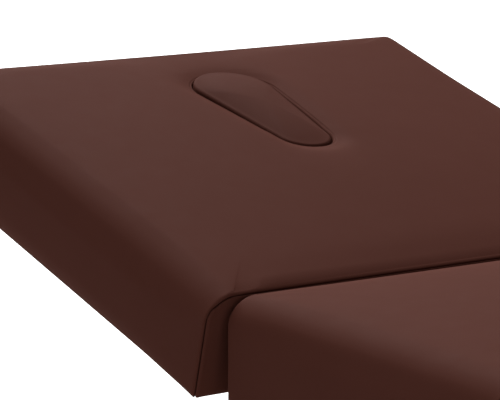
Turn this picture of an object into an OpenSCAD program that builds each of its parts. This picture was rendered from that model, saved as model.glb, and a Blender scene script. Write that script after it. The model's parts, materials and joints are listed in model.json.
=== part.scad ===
// Electric treatment and massage bed with three thick cushions: a tilting back with a
// face hole and its teardrop plug, a level seat and a leg rest that drops.
// +X runs from the head end to the foot end, +Z is up, and the floor is z = 0.
// The back section is drawn flat and then turned up about the line where it meets the seat.

/* [Overall] */
// Length of the back cushion
back_len = 720; // [600:5:850]
// Length of the seat cushion
seat_len = 500; // [470:5:560]
// Length of the leg cushion
leg_len = 640; // [500:5:750]
// Width of the back cushion
back_w = 800; // [700:5:900]
// Width of the seat and leg cushions
lower_w = 760; // [680:5:880]
// Gap between neighbouring cushions
joint_gap = 6; // [5:1:20]
// Height of the seat cushion's edge at the lowest setting
seat_z = 600; // [580:5:700]
// Angle of the back above level, as stored
rest_tilt = 15; // [0:1:40]
// Greatest angle of the back above level
back_top_a = 65; // [50:1:65]
// Greatest drop of the leg section
leg_drop_a = 30; // [10:1:30]
// Height that the columns can add
lift_travel = 300; // [150:10:340]

/* [Cushions] */
// Thickness of a cushion at its edge, board included
cushion_t = 135; // [110:1:150]
// Rise of a cushion's middle above its edge
crown_h = 9; // [0:1:20]
// Corner radius of a cushion, seen from above
corner_r = 8; // [6:1:12]
// Radius of the top edge along a cushion's long sides
side_r = 40; // [20:1:45]
// Radius of the top edge along a cushion's ends, at the seam of the end panel
end_r = 8; // [6:1:10]
// Radius of a cushion's bottom edge
hem_r = 8; // [4:1:12]
// Depth by which the long sides draw in between their corners
side_pull = 4; // [0:1:8]
// Depth by which the seams of the ends draw in between their corners
end_pull = 1; // [0:0.5:2]
// Swell of an end panel's middle past its seams
end_puff = 2; // [0:0.5:2.5]

/* [Face hole] */
// Length of the teardrop hole
hole_l = 275; // [220:1:300]
// Radius of the hole's wide end
hole_wide_r = 61; // [50:1:75]
// Radius of the hole's narrow end
hole_tip_r = 40; // [30:1:48]
// Distance of the hole from the head end
hole_from_head = 90; // [70:1:140]
// Gap between the plug and the cushion
plug_gap = 1.5; // [1:0.1:4]
// Rise of the plug's edge above the cushion around it
plug_rise = 1; // [0:0.5:6]
// Rise of the plug's middle above its edge
plug_crown = 7; // [0:0.5:12]
// Radius of the plug's top edge
plug_edge_r = 13; // [6:1:18]
// Ledge of board that the plug stands on
ledge_w = 14; // [8:1:22]
// Thickness of the plug's base plate
plug_plate_t = 6; // [4:1:12]
// Radius of the rounded lip of the hole
lip_r = 8; // [4:1:14]

/* [Boards and frames] */
// Thickness of the plywood boards
board_t = 18; // [12:1:24]
// Cover that wraps round a board's edge
wrap_w = 12; // [10:1:20]
// Clearance between a board and the cover round it
board_fit = 0.8; // [0.5:0.1:1.5]
// Corner radius of the boards
board_r = 10; // [4:1:30]
// Side of the square frame tubes
tube_w = 30; // [25:1:40]
// Wall of the frame tubes
tube_wall = 2; // [1.5:0.5:3]
// Outer width across a section's two side tubes
frame_w = 476; // [460:2:560]
// Distance from the tilt line to the start of the side tubes
tube_setback = 15; // [12:1:30]
// Distance of the tubes' far ends from a cushion's end
tube_inset = 40; // [20:1:80]
// Length of the cross tubes under the seat board
seat_cross_l = 640; // [520:5:680]
// Distance of the seat's head cross tube from the tilt line
head_cross_x = 80; // [76:1:90]
// Distance of the seat's foot cross tube from the leg hinge
foot_cross_x = 63; // [50:1:80]

/* [Tilt guides] */
// Radius of the guide rails' middle line about the tilt line
rail_r = 240; // [236:1:244]
// Depth of a guide rail
rail_h = 26; // [20:1:30]
// Thickness of a guide rail
rail_t = 8; // [6:1:10]
// Gap between the rails' ends and the boards above them, back flat
rail_clear = 2; // [1:0.5:2.5]
// Angle of the lower guide block
block_low_a = 15; // [14.5:0.5:18]
// Angle of the upper guide block
block_high_a = 36.5; // [32:0.5:37]
// Half of a guide block's angle
block_half_a = 4.5; // [3:0.5:5]
// Wall of a guide block round its groove
block_wall = 12; // [8:1:12]
// Clearance between a rail and its groove
rail_fit = 0.3; // [0.2:0.05:0.6]
// Thickness of the guide plates
guide_t = 6; // [4:1:8]

/* [Columns] */
// Length of the outer column along the bed
column_l = 130; // [120:1:150]
// Width of the outer column across the bed
column_w = 100; // [90:1:110]
// Wall of the column tubes
column_wall = 3; // [2:0.5:4]
// Corner radius of the outer column
column_r = 20; // [19:1:26]
// Space between two stages, filled by the glides
stage_gap = 4; // [3:0.5:5]
// Running clearance of a glide
glide_fit = 0.3; // [0.2:0.05:0.5]
// Height of a glide
glide_h = 60; // [30:1:90]
// Overlap of two column stages at the greatest height
stage_lap = 135; // [100:5:150]
// Distance of the head column's middle from the tilt line
head_column_x = 90; // [80:1:110]
// Distance between the two columns
column_pitch = 330; // [300:5:360]
// Thickness of the plates on top of the columns
plate_t = 8; // [6:1:12]
// Length of the plates on top of the columns
plate_l = 160; // [130:1:180]
// Width of the plates on top of the columns
plate_w = 190; // [184:1:192]

/* [Chassis] */
// Height of the two chassis rails
chassis_h = 40; // [40:1:45]
// Width of a chassis rail
chassis_t = 30; // [25:1:32]
// Distance between the chassis rails' middle planes
chassis_pitch = 150; // [146:1:152]
// Overhang of the chassis rails towards the head end
chassis_nose = 20; // [0:1:30]

/* [Base] */
// Length of the floor runners
base_len = 1000; // [940:10:1200]
// Width across the floor runners
base_w = 600; // [580:10:700]
// Width of a floor runner
runner_w = 40; // [36:1:60]
// Height of a floor runner
runner_h = 40; // [30:1:40]
// Wall of the runners and the base's cross members
runner_wall = 3; // [2:0.5:4]
// Length of a base cross member along the bed
cross_l = 150; // [140:1:170]
// Thickness of a column's foot flange
flange_t = 8; // [6:1:12]
// Height of the base cover
cover_h = 66; // [64:1:80]
// Wall of the base cover
cover_wall = 3; // [2:0.5:4]
// Corner radius of the base cover
cover_r = 70; // [40:1:90]
// Cover's overlap on the runners
cover_lap = 20; // [10:1:30]
// Radius of the rubber feet
foot_r = 19; // [16:1:19.5]
// Height of the rubber feet
foot_h = 20; // [15:1:20]
// Distance of the feet from the runners' ends
foot_inset = 45; // [30:1:80]

/* [Actuators] */
// Distance of each actuator from the middle plane
actuator_y = 125; // [122:1:130]
// Radius of an actuator's tube
barrel_r = 20; // [18:0.5:21]
// Radius of an actuator's rod
rod_r = 10; // [8:0.5:11]
// Radius of an actuator's pins
pin_r = 6; // [5:0.5:6.5]
// Running clearance round a pin
pin_fit = 0.05; // [0.02:0.01:0.1]
// Radius of an actuator's eyes
eye_r = 14; // [13:0.5:16]
// Width of an actuator's eyes
eye_w = 22; // [21:0.5:24]
// Thickness of a bracket's ears
ear_t = 5; // [4:0.5:6]
// Radius of an actuator's motor
motor_r = 24; // [20:0.5:26]
// Length of an actuator's motor
motor_l = 105; // [80:1:120]
// Play of a rod pin in its slotted bracket
slot_play = 0.6; // [0.4:0.1:1.5]

/* [Hidden] */
$fn = 64;
// Overrun of a cut past the face that it opens
over = 1;
// Points round a cushion: in half an end, along its shoulder, in a corner and in half a side
end_n = 3;
shoulder_n = 4;
corner_n = 2;
side_n = 4;
ring_n = 4 * (end_n + shoulder_n + corner_n + side_n);
// Where the shoulder's points end, as an angle on the wide top edge
shoulder_a = 72;
// Least share of the corner radius that an inset ring keeps
least_corner_share = 0.25;
// Points round half of the teardrop: tip, side and wide end
tip_n = 5;
flank_n = 7;
wide_n = ring_n / 2 - tip_n - flank_n;
// Steps of the rounded edges
round_n = 4;
lip_n = 3;
// Where the rings of a cushion's wall lie between its hem and its top edge
wall_shares = [0.3, 0.7];
// Where the rings of a cushion's top lie between its edge and its middle
top_shares = [0.22, 0.45, 0.68, 0.88];
hole_top_shares = [0.3, 0.6, 0.86];
plug_top_shares = [0.8, 0.55, 0.28];
// The cover sinks by this much towards the lip of the face hole
lip_dip = 1.5;

// Tilt line of the back, at the middle of the gap and the height of the edges' centres
tilt_z = seat_z - end_r;
// Underside of the cushions, and the frame and chassis levels below it
under_z = seat_z - cushion_t;
frame_z = under_z - tube_w;
rail_z = frame_z - chassis_h;
column_top_z = rail_z - plate_t;
under_drop = tilt_z - under_z;
frame_drop = tilt_z - frame_z;
// The whole bed is centred on its box
head_reach = (back_len + joint_gap / 2) * cos(rest_tilt) + under_drop * sin(rest_tilt);
foot_reach = 1.5 * joint_gap + seat_len + leg_len;
tilt_x = (head_reach - foot_reach) / 2;
seat_x = tilt_x + (joint_gap + seat_len) / 2;
leg_x = tilt_x + joint_gap + seat_len;
leg_pad_x = leg_x + (joint_gap + leg_len) / 2;
back_x = tilt_x - (joint_gap + back_len) / 2;
leg_z = frame_z + tube_w / 2;
// Face hole, from the middle of the back cushion
hole_x = hole_from_head + hole_l / 2 - back_len / 2;
hole_c = hole_l - hole_wide_r - hole_tip_r;
hole_a = acos((hole_wide_r - hole_tip_r) / hole_c);
// Frame spots
side_y = (frame_w - tube_w) / 2;
rail_y = side_y - tube_w / 2 - rail_t / 2;
back_crosses = [100, 320, 640];
back_cross_l = frame_w - 2 * tube_w;
rail_in = rail_r - rail_h / 2;
rail_out = rail_r + rail_h / 2;
// The rails' ends reach to just below the boards when the back is flat
rail_end_a = acos((under_drop + rail_clear) / rail_in);
// Where the two bolts lie across the rail, as shares of its depth
rail_bolt_shares = [-0.3, 0.08];
rail_bolt_xs = [for (s = rail_bolt_shares)
    sqrt(pow(rail_r + s * rail_h, 2) - pow(under_drop + tube_w / 2, 2))];
rail_bolt_r = 3;
rail_bolt_head_r = 5;
rail_bolt_head_h = 3;
// Guide plates and blocks stand just inside the guide rails
block_side = 8.4;
guide_y = rail_y - rail_t / 2 - rail_fit - block_side - guide_t / 2;
guide_root_l = 80;
guide_lead_a = 3;
// Columns, one stage inside the next
outer_in = [column_l - 2 * column_wall, column_w - 2 * column_wall];
mid_out = [outer_in[0] - 2 * stage_gap, outer_in[1] - 2 * stage_gap];
mid_in = [mid_out[0] - 2 * column_wall, mid_out[1] - 2 * column_wall];
inner_out = [mid_in[0] - 2 * stage_gap, mid_in[1] - 2 * stage_gap];
stage_dr = column_wall + stage_gap;
column_foot_z = foot_h + runner_h + flange_t;
stage_h = (column_top_z - column_foot_z + lift_travel + 2 * stage_lap) / 3;
stage_step = (column_top_z - column_foot_z - stage_h) / 2;
column_xs = [tilt_x + head_column_x, tilt_x + head_column_x + column_pitch];
flange_l = 150;
flange_w = 160;
// Telescopic ram inside each column
ram_r = 25;
ram_mid_r = 20;
ram_rod_r = 15;
ram_fit = 0.5;
ram_cap = 9;
ram_foot_h = 40;
ram_foot_r = 29;
// Base
runner_y = (base_w - runner_w) / 2;
base_cross_l = base_w - 2 * runner_w;
cover_l = base_len - 2 * foot_inset;
cover_w = base_w - 2 * (runner_w - cover_lap);
cover_fit = 1.5;
cap_t = 4;
cap_fit = 0.2;
cap_plug_l = 15;
bolt_r = 5;
bolt_xs = [-flange_l / 2 + 2 * bolt_r, flange_l / 2 - 2 * bolt_r];
bolt_ys = [-flange_w / 2 + 4 * bolt_r, flange_w / 2 - 4 * bolt_r];
bolt_head_r = 8.5;
bolt_head_h = 5;
// Leg hinge
hinge_pin_r = 8;
hinge_bush_r = 11;
hinge_eye_r = 15;
hinge_ear_t = 8;
hinge_gap = 0.5;
hinge_head_r = 12;
hinge_head_h = 4;
leg_cross_near = 50;
leg_cross_inset = 80;
leg_crosses = [leg_cross_near, leg_len - leg_cross_inset];
// Back actuator: its rear pin on the chassis and its rod pin on the flat back
back_rear = [240, -315];
back_pin = [-100, -205];
// Leg actuator, from the leg hinge
leg_rear = [-330, -100];
leg_pin = [50, -100];
// Turn of each actuator for a turn of its section, and rod travel for each radian of it
back_swing = 0.265;
back_reach = 186;
leg_swing = 0.08;
leg_reach = -107;
back_range = [-rest_tilt, back_top_a - rest_tilt];
leg_range = [0, leg_drop_a];
slot_n = 12;
gear_x = 40;
gear_l = 46;
gear_w = 44;
gear_r = 6;
barrel_back_l = 320;
barrel_leg_l = 226;
collar_r = 23;
collar_l = 16;
rod_lap = 4;
arm_w = 30;
pin_head_r = 9;
pin_head_h = 3;
// Control box between the columns
box_l = 150;
box_w = 150;
box_h = 56;
box_r = 10;
inlet_l = 32;
inlet_w = 25;
inlet_h = 24;
inlet_wall = 2.5;
inlet_pin_h = 12;
inlet_pin_l = 4;
inlet_pin_w = 2;
inlet_pin_gap = 7;
socket_r = 11;
socket_bore_r = 7.5;
socket_h = 14;
socket_floor = 3;
socket_x = 40;

// Small helpers

module round_rect(l, w, r) {
    square([l - 2 * r, w], center = true);
    square([l, w - 2 * r], center = true);
    for (sx = [-1, 1], sy = [-1, 1])
        translate([sx * (l / 2 - r), sy * (w / 2 - r)]) circle(r = r);
}

// A closed plate in the XZ plane, centred on y = 0
module side_plate(t) {
    rotate([90, 0, 0]) translate([0, 0, -t / 2]) linear_extrude(height = t) children();
}

module along_y(r, l) {
    rotate([90, 0, 0]) cylinder(r = r, h = l, center = true);
}

// Rectangular tube along X from x0, centred on y = 0, with its underside on z = 0
module tube_x(x0, l, w, h, wall) {
    translate([x0, -w / 2, 0]) difference() {
        cube([l, w, h]);
        translate([-over, wall, wall]) cube([l + 2 * over, w - 2 * wall, h - 2 * wall]);
    }
}

module tube_y(l, w, h, wall) {
    translate([-w / 2, -l / 2, 0]) difference() {
        cube([w, l, h]);
        translate([wall, -over, wall]) cube([w - 2 * wall, l + 2 * over, h - 2 * wall]);
    }
}

// Places

module back_place() {
    translate([tilt_x, 0, tilt_z]) rotate([0, rest_tilt, 0]) children();
}

// A flat cushion's own frame, with z = 0 at its underside and x = 0 at its middle
module back_pad_place() {
    back_place() translate([back_x - tilt_x, 0, under_z - tilt_z]) children();
}

function turned(p, a) = [p[0] * cos(a) + p[1] * sin(a), p[1] * cos(a) - p[0] * sin(a)];

// Cushion forms

// Where the points of half an end lie: evenly, then closer along the shoulder
function end_shares(w) = let (h = 2 * side_r / w) concat(
    [for (i = [0:end_n - 1]) (1 - h) * i / end_n],
    [for (i = [0:shoulder_n - 1]) 1 - h * (1 - sin(shoulder_a * i / shoulder_n))]);

// A quarter of a rounded rectangle, from the middle of its end to the middle of its side.
// It is inset by e at the ends and by s at the sides, and r is its corner radius.
function quarter(l, w, e, s, r) = let (x = l / 2 - e, y = w / 2 - s) concat(
    [for (q = end_shares(w)) [x, (y - r) * q]],
    [for (i = [0:corner_n]) let (a = 90 * i / corner_n)
        [x - r + r * cos(a), y - r + r * sin(a)]],
    [for (i = [1:side_n]) [(1 - i / side_n) * (x - r), y]]);

function ring(l, w, e, s, r) = let (q = quarter(l, w, e, s, r), n = len(q) - 1)
    concat(q, [for (i = [n - 1:-1:0]) [-q[i][0], q[i][1]]],
        [for (i = [1:n]) [-q[i][0], -q[i][1]]], [for (i = [n - 1:-1:1]) [q[i][0], -q[i][1]]]);

function inset_corner(d) = max(corner_r - d, corner_r * least_corner_share);

// A teardrop ring, grown outwards by e, its narrow end towards +X
function drop_half(e) = let (cw = -hole_l / 2 + hole_wide_r, ct = hole_l / 2 - hole_tip_r,
        rw = hole_wide_r + e, rt = hole_tip_r + e, n = [cos(hole_a), sin(hole_a)])
    concat([for (i = [0:tip_n]) let (a = hole_a * i / tip_n) [ct + rt * cos(a), rt * sin(a)]],
        [for (i = [1:flank_n]) let (s = i / flank_n)
            [ct + (cw - ct) * s + (rt + (rw - rt) * s) * n[0], (rt + (rw - rt) * s) * n[1]]],
        [for (i = [1:wide_n]) let (a = hole_a + (180 - hole_a) * i / wide_n)
            [cw + rw * cos(a), rw * sin(a)]]);

function drop_ring(e) = let (h = drop_half(e), n = len(h) - 1)
    concat(h, [for (i = [n - 1:-1:1]) [h[i][0], -h[i][1]]]);

function bump(x, half) = 1 - pow(min(1, abs(x) / half), 2);
function crown(l, w, p) = crown_h * bump(p[0], l / 2 - end_r) * bump(p[1], w / 2 - side_r);
function at_height(pts, z) = [for (p = pts) [p[0], p[1], z]];
function mix(a, b, s) = [for (i = [0:len(a) - 1]) a[i] + (b[i] - a[i]) * s];
function arc_drop(r, t) = t <= 0 ? 0 : r - sqrt(max(0, r * r - t * t));

// Points on a cushion's top, whose edges turn down along its sides and its ends
function crowned(l, w, pts, sink) = [for (p = pts) [p[0], p[1], cushion_t + crown(l, w, p) - sink
    - arc_drop(side_r, abs(p[1]) - w / 2 + side_r) - arc_drop(end_r, abs(p[0]) - l / 2 + end_r)]];

// Sides and seams drawn in between the corners
function drawn(l, w, pts) = [for (p = pts) [
    p[0] * (1 - 2 * end_pull / l * bump(p[1], w / 2)),
    p[1] * (1 - 2 * side_pull / w * bump(p[0], l / 2)), p[2]]];

// End panels swollen between their seams, s from the hem up
function puffed(l, w, pts, s) = [for (p = pts) [
    p[0] * (1 + 8 * (end_pull + end_puff) / l * s * (1 - s) * bump(p[1], w / 2)), p[1], p[2]]];

function hem_ring(l, w, a) = let (d = hem_r * (1 - sin(a)))
    drawn(l, w, at_height(ring(l, w, d, d, inset_corner(d)), hem_r * (1 - cos(a))));

function edge_ring(l, w, a) = let (e = end_r * (1 - cos(a)), s = side_r * (1 - cos(a)))
    drawn(l, w, crowned(l, w, ring(l, w, e, s, inset_corner(e)), 0));

// Rings of a cushion's outside, from the board's pocket under it to its top edge
function outer_rings(l, w) = let (pocket = ring(l, w, wrap_w, wrap_w, board_r + board_fit),
        hem = hem_ring(l, w, 90), edge = edge_ring(l, w, 0)) concat(
    [at_height(pocket, board_t), at_height(pocket, 0)],
    [for (i = [0:2]) hem_ring(l, w, 45 * i)],
    [for (s = wall_shares) puffed(l, w, mix(hem, edge, s), s)],
    [for (i = [0:round_n]) edge_ring(l, w, 90 * i / round_n)]);

function top_edge(l, w) = [for (p = edge_ring(l, w, 90)) [p[0], p[1]]];

// Faces between rings of ring_n points, with a fan to each end point or round to the start
function band(j, k, m) = let (a = j * ring_n, b = (m == 0 ? j + 1 : (j + 1) % m) * ring_n,
        q = (k + 1) % ring_n) [[a + k, b + q, a + q], [a + k, b + k, b + q]];

module ringed_solid(rings, low, high) {
    m = len(rings);
    pts = concat([for (r = rings) each r], [low, high]);
    last = (m - 1) * ring_n;
    polyhedron(points = pts, faces = concat(
        [for (j = [0:m - 2], k = [0:ring_n - 1]) each band(j, k, 0)],
        [for (k = [0:ring_n - 1]) [k, (k + 1) % ring_n, m * ring_n]],
        [for (k = [0:ring_n - 1]) [last + (k + 1) % ring_n, last + k, m * ring_n + 1]]));
}

module ringed_loop(rings) {
    m = len(rings);
    polyhedron(points = [for (r = rings) each r],
        faces = [for (j = [0:m - 1], k = [0:ring_n - 1]) each band(j, k, m)]);
}

module plain_cushion(l, w) {
    edge = top_edge(l, w);
    middle = [for (p = edge) [0, 0]];
    ringed_solid(concat(outer_rings(l, w),
        [for (s = top_shares) crowned(l, w, mix(edge, middle, s), 0)]),
        [0, 0, board_t], [0, 0, cushion_t + crown_h]);
}

// Cushion with the face hole: its rings run over the top and down into the hole
module holed_cushion(l, w) {
    edge = top_edge(l, w);
    lip = [for (p = drop_ring(lip_r)) [p[0] + hole_x, p[1]]];
    wall = [for (p = drop_ring(0)) [p[0] + hole_x, p[1]]];
    ringed_loop(concat(outer_rings(l, w),
        [for (s = hole_top_shares) crowned(l, w, mix(edge, lip, s), 0)],
        [crowned(l, w, lip, lip_dip)],
        [for (i = [1:lip_n]) let (a = 90 * i / lip_n)
            crowned(l, w, mix(lip, wall, sin(a)), lip_dip + lip_r * (1 - cos(a)))],
        [at_height(wall, board_t)]));
}

// Boards

module drop_area(e) {
    polygon(drop_ring(e));
}

module board_area(l, w) {
    d = wrap_w + board_fit;
    round_rect(l - 2 * d, w - 2 * d, board_r);
}

// Base

module runner(side) {
    color([0.16, 0.16, 0.17]) translate([0, side * runner_y, foot_h])
        tube_x(-base_len / 2, base_len, runner_w, runner_h, runner_wall);
}

module left_runner() { runner(-1); }

module right_runner() { runner(1); }

// Plastic caps in the runners' open ends
module runner_caps() {
    plug_w = runner_w - 2 * runner_wall - 2 * cap_fit;
    plug_h = runner_h - 2 * runner_wall - 2 * cap_fit;
    color([0.1, 0.1, 0.1]) for (sx = [-1, 1], sy = [-1, 1])
        translate([sx * base_len / 2, sy * runner_y, foot_h]) {
            translate([sx > 0 ? 0 : -cap_t, -runner_w / 2, 0]) cube([cap_t, runner_w, runner_h]);
            translate([sx > 0 ? -cap_plug_l : 0, -plug_w / 2, runner_wall + cap_fit])
                cube([cap_plug_l, plug_w, plug_h]);
        }
}

module base_cross(i) {
    color([0.16, 0.16, 0.17]) translate([column_xs[i], 0, foot_h]) difference() {
        tube_y(base_cross_l, cross_l, runner_h, runner_wall);
        for (bx = bolt_xs, by = bolt_ys)
            translate([bx, by, runner_h / 2]) cylinder(r = bolt_r, h = runner_h);
    }
}

module head_base_cross() { base_cross(0); }

module foot_base_cross() { base_cross(1); }

module column_tube(size, r, z) {
    translate([0, 0, z]) linear_extrude(height = stage_h) difference() {
        round_rect(size[0], size[1], r);
        round_rect(size[0] - 2 * column_wall, size[1] - 2 * column_wall, r - column_wall);
    }
}

// Glide at the top of one stage: it fills the space to the next, but for its clearance
module glide(space, r, top) {
    slim = 2 * (stage_gap - glide_fit);
    translate([0, 0, top - glide_h]) linear_extrude(height = glide_h) difference() {
        round_rect(space[0], space[1], r);
        round_rect(space[0] - slim, space[1] - slim, r - slim / 2);
    }
}

module outer_columns() {
    color([0.88, 0.88, 0.86]) for (x = column_xs) translate([x, 0, 0]) {
        column_tube([column_l, column_w], column_r, column_foot_z);
        translate([0, 0, column_foot_z - flange_t]) linear_extrude(height = flange_t) difference() {
            square([flange_l, flange_w], center = true);
            circle(r = ram_foot_r + ram_fit);
            for (bx = bolt_xs, by = bolt_ys) translate([bx, by]) circle(r = bolt_r);
        }
    }
}

module outer_glides() {
    color([0.2, 0.2, 0.2]) for (x = column_xs) translate([x, 0, 0])
        glide(outer_in, column_r - column_wall, column_foot_z + stage_h);
}

// Tubular motor on each base cross member, with the ram's lowest tube above it
module lift_motors() {
    color([0.12, 0.12, 0.13]) for (x = column_xs) translate([x, 0, foot_h + runner_h])
        difference() {
            union() {
                cylinder(r = ram_foot_r, h = ram_foot_h);
                cylinder(r = ram_r, h = column_top_z - foot_h - runner_h - 2 * ram_cap);
            }
            translate([0, 0, ram_foot_h]) cylinder(r = ram_mid_r + ram_fit, h = column_top_z);
        }
}

module base_cover() {
    color([0.9, 0.89, 0.87]) translate([0, 0, foot_h + runner_h]) difference() {
        linear_extrude(height = cover_h) round_rect(cover_l, cover_w, cover_r);
        translate([0, 0, -cover_wall]) linear_extrude(height = cover_h)
            round_rect(cover_l - 2 * cover_wall, cover_w - 2 * cover_wall, cover_r - cover_wall);
        for (x = column_xs) translate([x, 0, cover_h / 2]) linear_extrude(height = cover_h)
            round_rect(column_l + 2 * cover_fit, column_w + 2 * cover_fit, column_r + cover_fit);
    }
}

module rubber_feet() {
    color([0.1, 0.1, 0.1]) for (sx = [-1, 1], sy = [-1, 1])
        translate([sx * (base_len / 2 - foot_inset), sy * runner_y, 0])
            cylinder(r = foot_r, h = foot_h);
}

module base_bolts() {
    color([0.7, 0.7, 0.72]) for (x = column_xs, bx = bolt_xs, by = bolt_ys)
        translate([x + bx, by, column_foot_z]) {
            cylinder(r = bolt_head_r, h = bolt_head_h, $fn = 6);
            translate([0, 0, -flange_t - runner_wall]) cylinder(r = bolt_r, h = flange_t + runner_wall);
        }
}

// Middle stage

module middle_columns() {
    color([0.8, 0.8, 0.79]) for (x = column_xs) translate([x, 0, 0])
        column_tube(mid_out, column_r - stage_dr, column_foot_z + stage_step);
}

module middle_glides() {
    color([0.2, 0.2, 0.2]) for (x = column_xs) translate([x, 0, 0])
        glide(mid_in, column_r - stage_dr - column_wall, column_foot_z + stage_step + stage_h);
}

module ram_sleeves() {
    sleeve_z = foot_h + runner_h + ram_foot_h + ram_fit;
    color([0.7, 0.7, 0.72]) for (x = column_xs) translate([x, 0, sleeve_z]) difference() {
        cylinder(r = ram_mid_r, h = column_top_z - ram_cap - sleeve_z);
        translate([0, 0, ram_fit]) cylinder(r = ram_rod_r + ram_fit, h = column_top_z);
    }
}

// Chassis

module inner_columns() {
    color([0.72, 0.72, 0.71]) for (x = column_xs) translate([x, 0, 0])
        column_tube(inner_out, column_r - 2 * stage_dr, column_top_z - stage_h);
}

module ram_rods() {
    rod_foot = foot_h + runner_h + ram_foot_h + 3 * ram_fit;
    color([0.75, 0.75, 0.77]) for (x = column_xs) translate([x, 0, rod_foot])
        cylinder(r = ram_rod_r, h = column_top_z - rod_foot);
}

module column_plates() {
    color([0.16, 0.16, 0.17]) for (x = column_xs) translate([x, 0, column_top_z])
        linear_extrude(height = plate_t) round_rect(plate_l, plate_w, column_r);
}

module chassis_rail(side) {
    l = leg_x - tilt_x + chassis_nose - joint_gap;
    color([0.16, 0.16, 0.17]) translate([tilt_x - chassis_nose, side * chassis_pitch / 2, rail_z])
        tube_x(0, l, chassis_t, chassis_h, tube_wall);
}

module left_chassis_rail() { chassis_rail(-1); }

module right_chassis_rail() { chassis_rail(1); }

module seat_cross(x) {
    color([0.16, 0.16, 0.17]) translate([x, 0, frame_z])
        tube_y(seat_cross_l, tube_w, tube_w, tube_wall);
}

module head_seat_cross() { seat_cross(tilt_x + head_cross_x); }

module foot_seat_cross() { seat_cross(leg_x - foot_cross_x); }

module seat_board() {
    color([0.78, 0.66, 0.48]) translate([seat_x, 0, under_z])
        linear_extrude(height = board_t) board_area(seat_len, lower_w);
}

module seat_cushion() {
    color([0.33, 0.21, 0.19]) translate([seat_x, 0, under_z]) plain_cushion(seat_len, lower_w);
}

// A sector of a flat ring about the tilt line; angles run from the plumb towards the head
module sector(r_in, r_out, a0, a1) {
    far = 2 * r_out;
    intersection() {
        difference() {
            circle(r = r_out, $fn = 96);
            circle(r = r_in, $fn = 96);
        }
        polygon([[0, 0], for (i = [0:3]) let (a = a0 + (a1 - a0) * i / 3)
            [-far * sin(a), -far * cos(a)]]);
    }
}

// Flat plates hung under the seat's head cross tube, one each side, that carry the blocks
module guide_plates() {
    drop = frame_drop;
    root = head_cross_x + tube_w / 2;
    color([0.2, 0.2, 0.21]) for (s = [-1, 1])
        translate([tilt_x, s * guide_y, tilt_z]) side_plate(guide_t) {
            sector(rail_in - block_wall, rail_out + block_wall,
                -guide_lead_a, block_high_a + block_half_a);
            polygon([[root, -drop], [root, -drop - tube_w], [0, -rail_out - block_wall],
                [-rail_out * sin(guide_lead_a), -rail_in], [root - guide_root_l, -drop]]);
        }
}

module guide_blocks() {
    y_in = guide_y + guide_t / 2;
    y_out = rail_y + rail_t / 2 + rail_fit + block_side;
    t = y_out - y_in;
    groove_t = rail_t + 2 * rail_fit;
    color([0.9, 0.9, 0.88]) for (s = [-1, 1], a = [block_low_a, block_high_a])
        translate([tilt_x, 0, tilt_z]) difference() {
            translate([0, s * (y_in + y_out) / 2, 0]) side_plate(t)
                sector(rail_in - block_wall, rail_out + block_wall, a - block_half_a,
                    a + block_half_a);
            translate([0, s * rail_y, 0]) side_plate(groove_t)
                sector(rail_in - rail_fit, rail_out + rail_fit, a - 2 * block_half_a,
                    a + 2 * block_half_a);
        }
}

// Outline of an ear that hangs from a flat top and ends round an eye
module ear_area(p, top, half) {
    difference() {
        union() {
            translate(p) circle(r = eye_r);
            polygon([[p[0] - half, top], [p[0] + half, top], [p[0] + eye_r, p[1]],
                [p[0] - eye_r, p[1]]]);
        }
        translate(p) circle(r = pin_r + pin_fit);
    }
}

module ear_pair(y) {
    for (s = [-1, 1]) translate([0, y + s * (eye_w + ear_t + pin_fit * 2) / 2, 0])
        side_plate(ear_t) children();
}

// Arms on the chassis rails' outer faces, with the ears that hold the actuators' rear pins
module actuator_arms() {
    y_in = chassis_pitch / 2 + chassis_t / 2;
    y_out = actuator_y + eye_w / 2 + ear_t + pin_fit;
    color([0.16, 0.16, 0.17]) {
        translate([tilt_x + back_rear[0] - arm_w / 2, y_in, rail_z])
            cube([arm_w, y_out - y_in, chassis_h]);
        translate([tilt_x, 0, tilt_z]) ear_pair(actuator_y)
            ear_area(back_rear, rail_z - tilt_z, arm_w / 2);
        translate([leg_x + leg_rear[0] - arm_w / 2, -y_out, rail_z])
            cube([arm_w, y_out - y_in, chassis_h]);
        translate([leg_x, 0, leg_z]) ear_pair(-actuator_y)
            ear_area(leg_rear, rail_z - leg_z, arm_w / 2);
    }
}

// A pin across a pair of ears, with a head at each end
module cross_pin(r) {
    l = eye_w + 2 * ear_t + 2 * pin_fit;
    along_y(r, l);
    for (s = [-1, 1]) translate([0, s * (l + pin_head_h) / 2, 0]) along_y(pin_head_r, pin_head_h);
}

module actuator_pins() {
    color([0.72, 0.72, 0.74]) {
        translate([tilt_x + back_rear[0], actuator_y, tilt_z + back_rear[1]]) cross_pin(pin_r);
        translate([leg_x + leg_rear[0], -actuator_y, leg_z + leg_rear[1]]) cross_pin(pin_r);
    }
}

// Ears welded to the seat's foot cross tube, reaching to the leg hinge
module leg_hinge_ears() {
    y = side_y - tube_w / 2 - hinge_ear_t - hinge_gap - hinge_ear_t / 2;
    root = -foot_cross_x + tube_w / 2;
    color([0.16, 0.16, 0.17]) for (s = [-1, 1])
        translate([leg_x, s * y, leg_z]) side_plate(hinge_ear_t) difference() {
            union() {
                circle(r = hinge_eye_r);
                translate([root, -hinge_eye_r]) square([-root, 2 * hinge_eye_r]);
            }
            circle(r = hinge_pin_r);
        }
}

module leg_hinge_pins() {
    y_in = side_y - tube_w / 2 - 2 * hinge_ear_t - hinge_gap;
    y_out = side_y - tube_w / 2;
    color([0.72, 0.72, 0.74]) for (s = [-1, 1]) translate([leg_x, 0, leg_z]) {
        translate([0, s * (y_in + y_out) / 2, 0]) along_y(hinge_pin_r, y_out - y_in);
        translate([0, s * (y_in - hinge_head_h / 2), 0]) along_y(hinge_head_r, hinge_head_h);
    }
}

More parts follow.
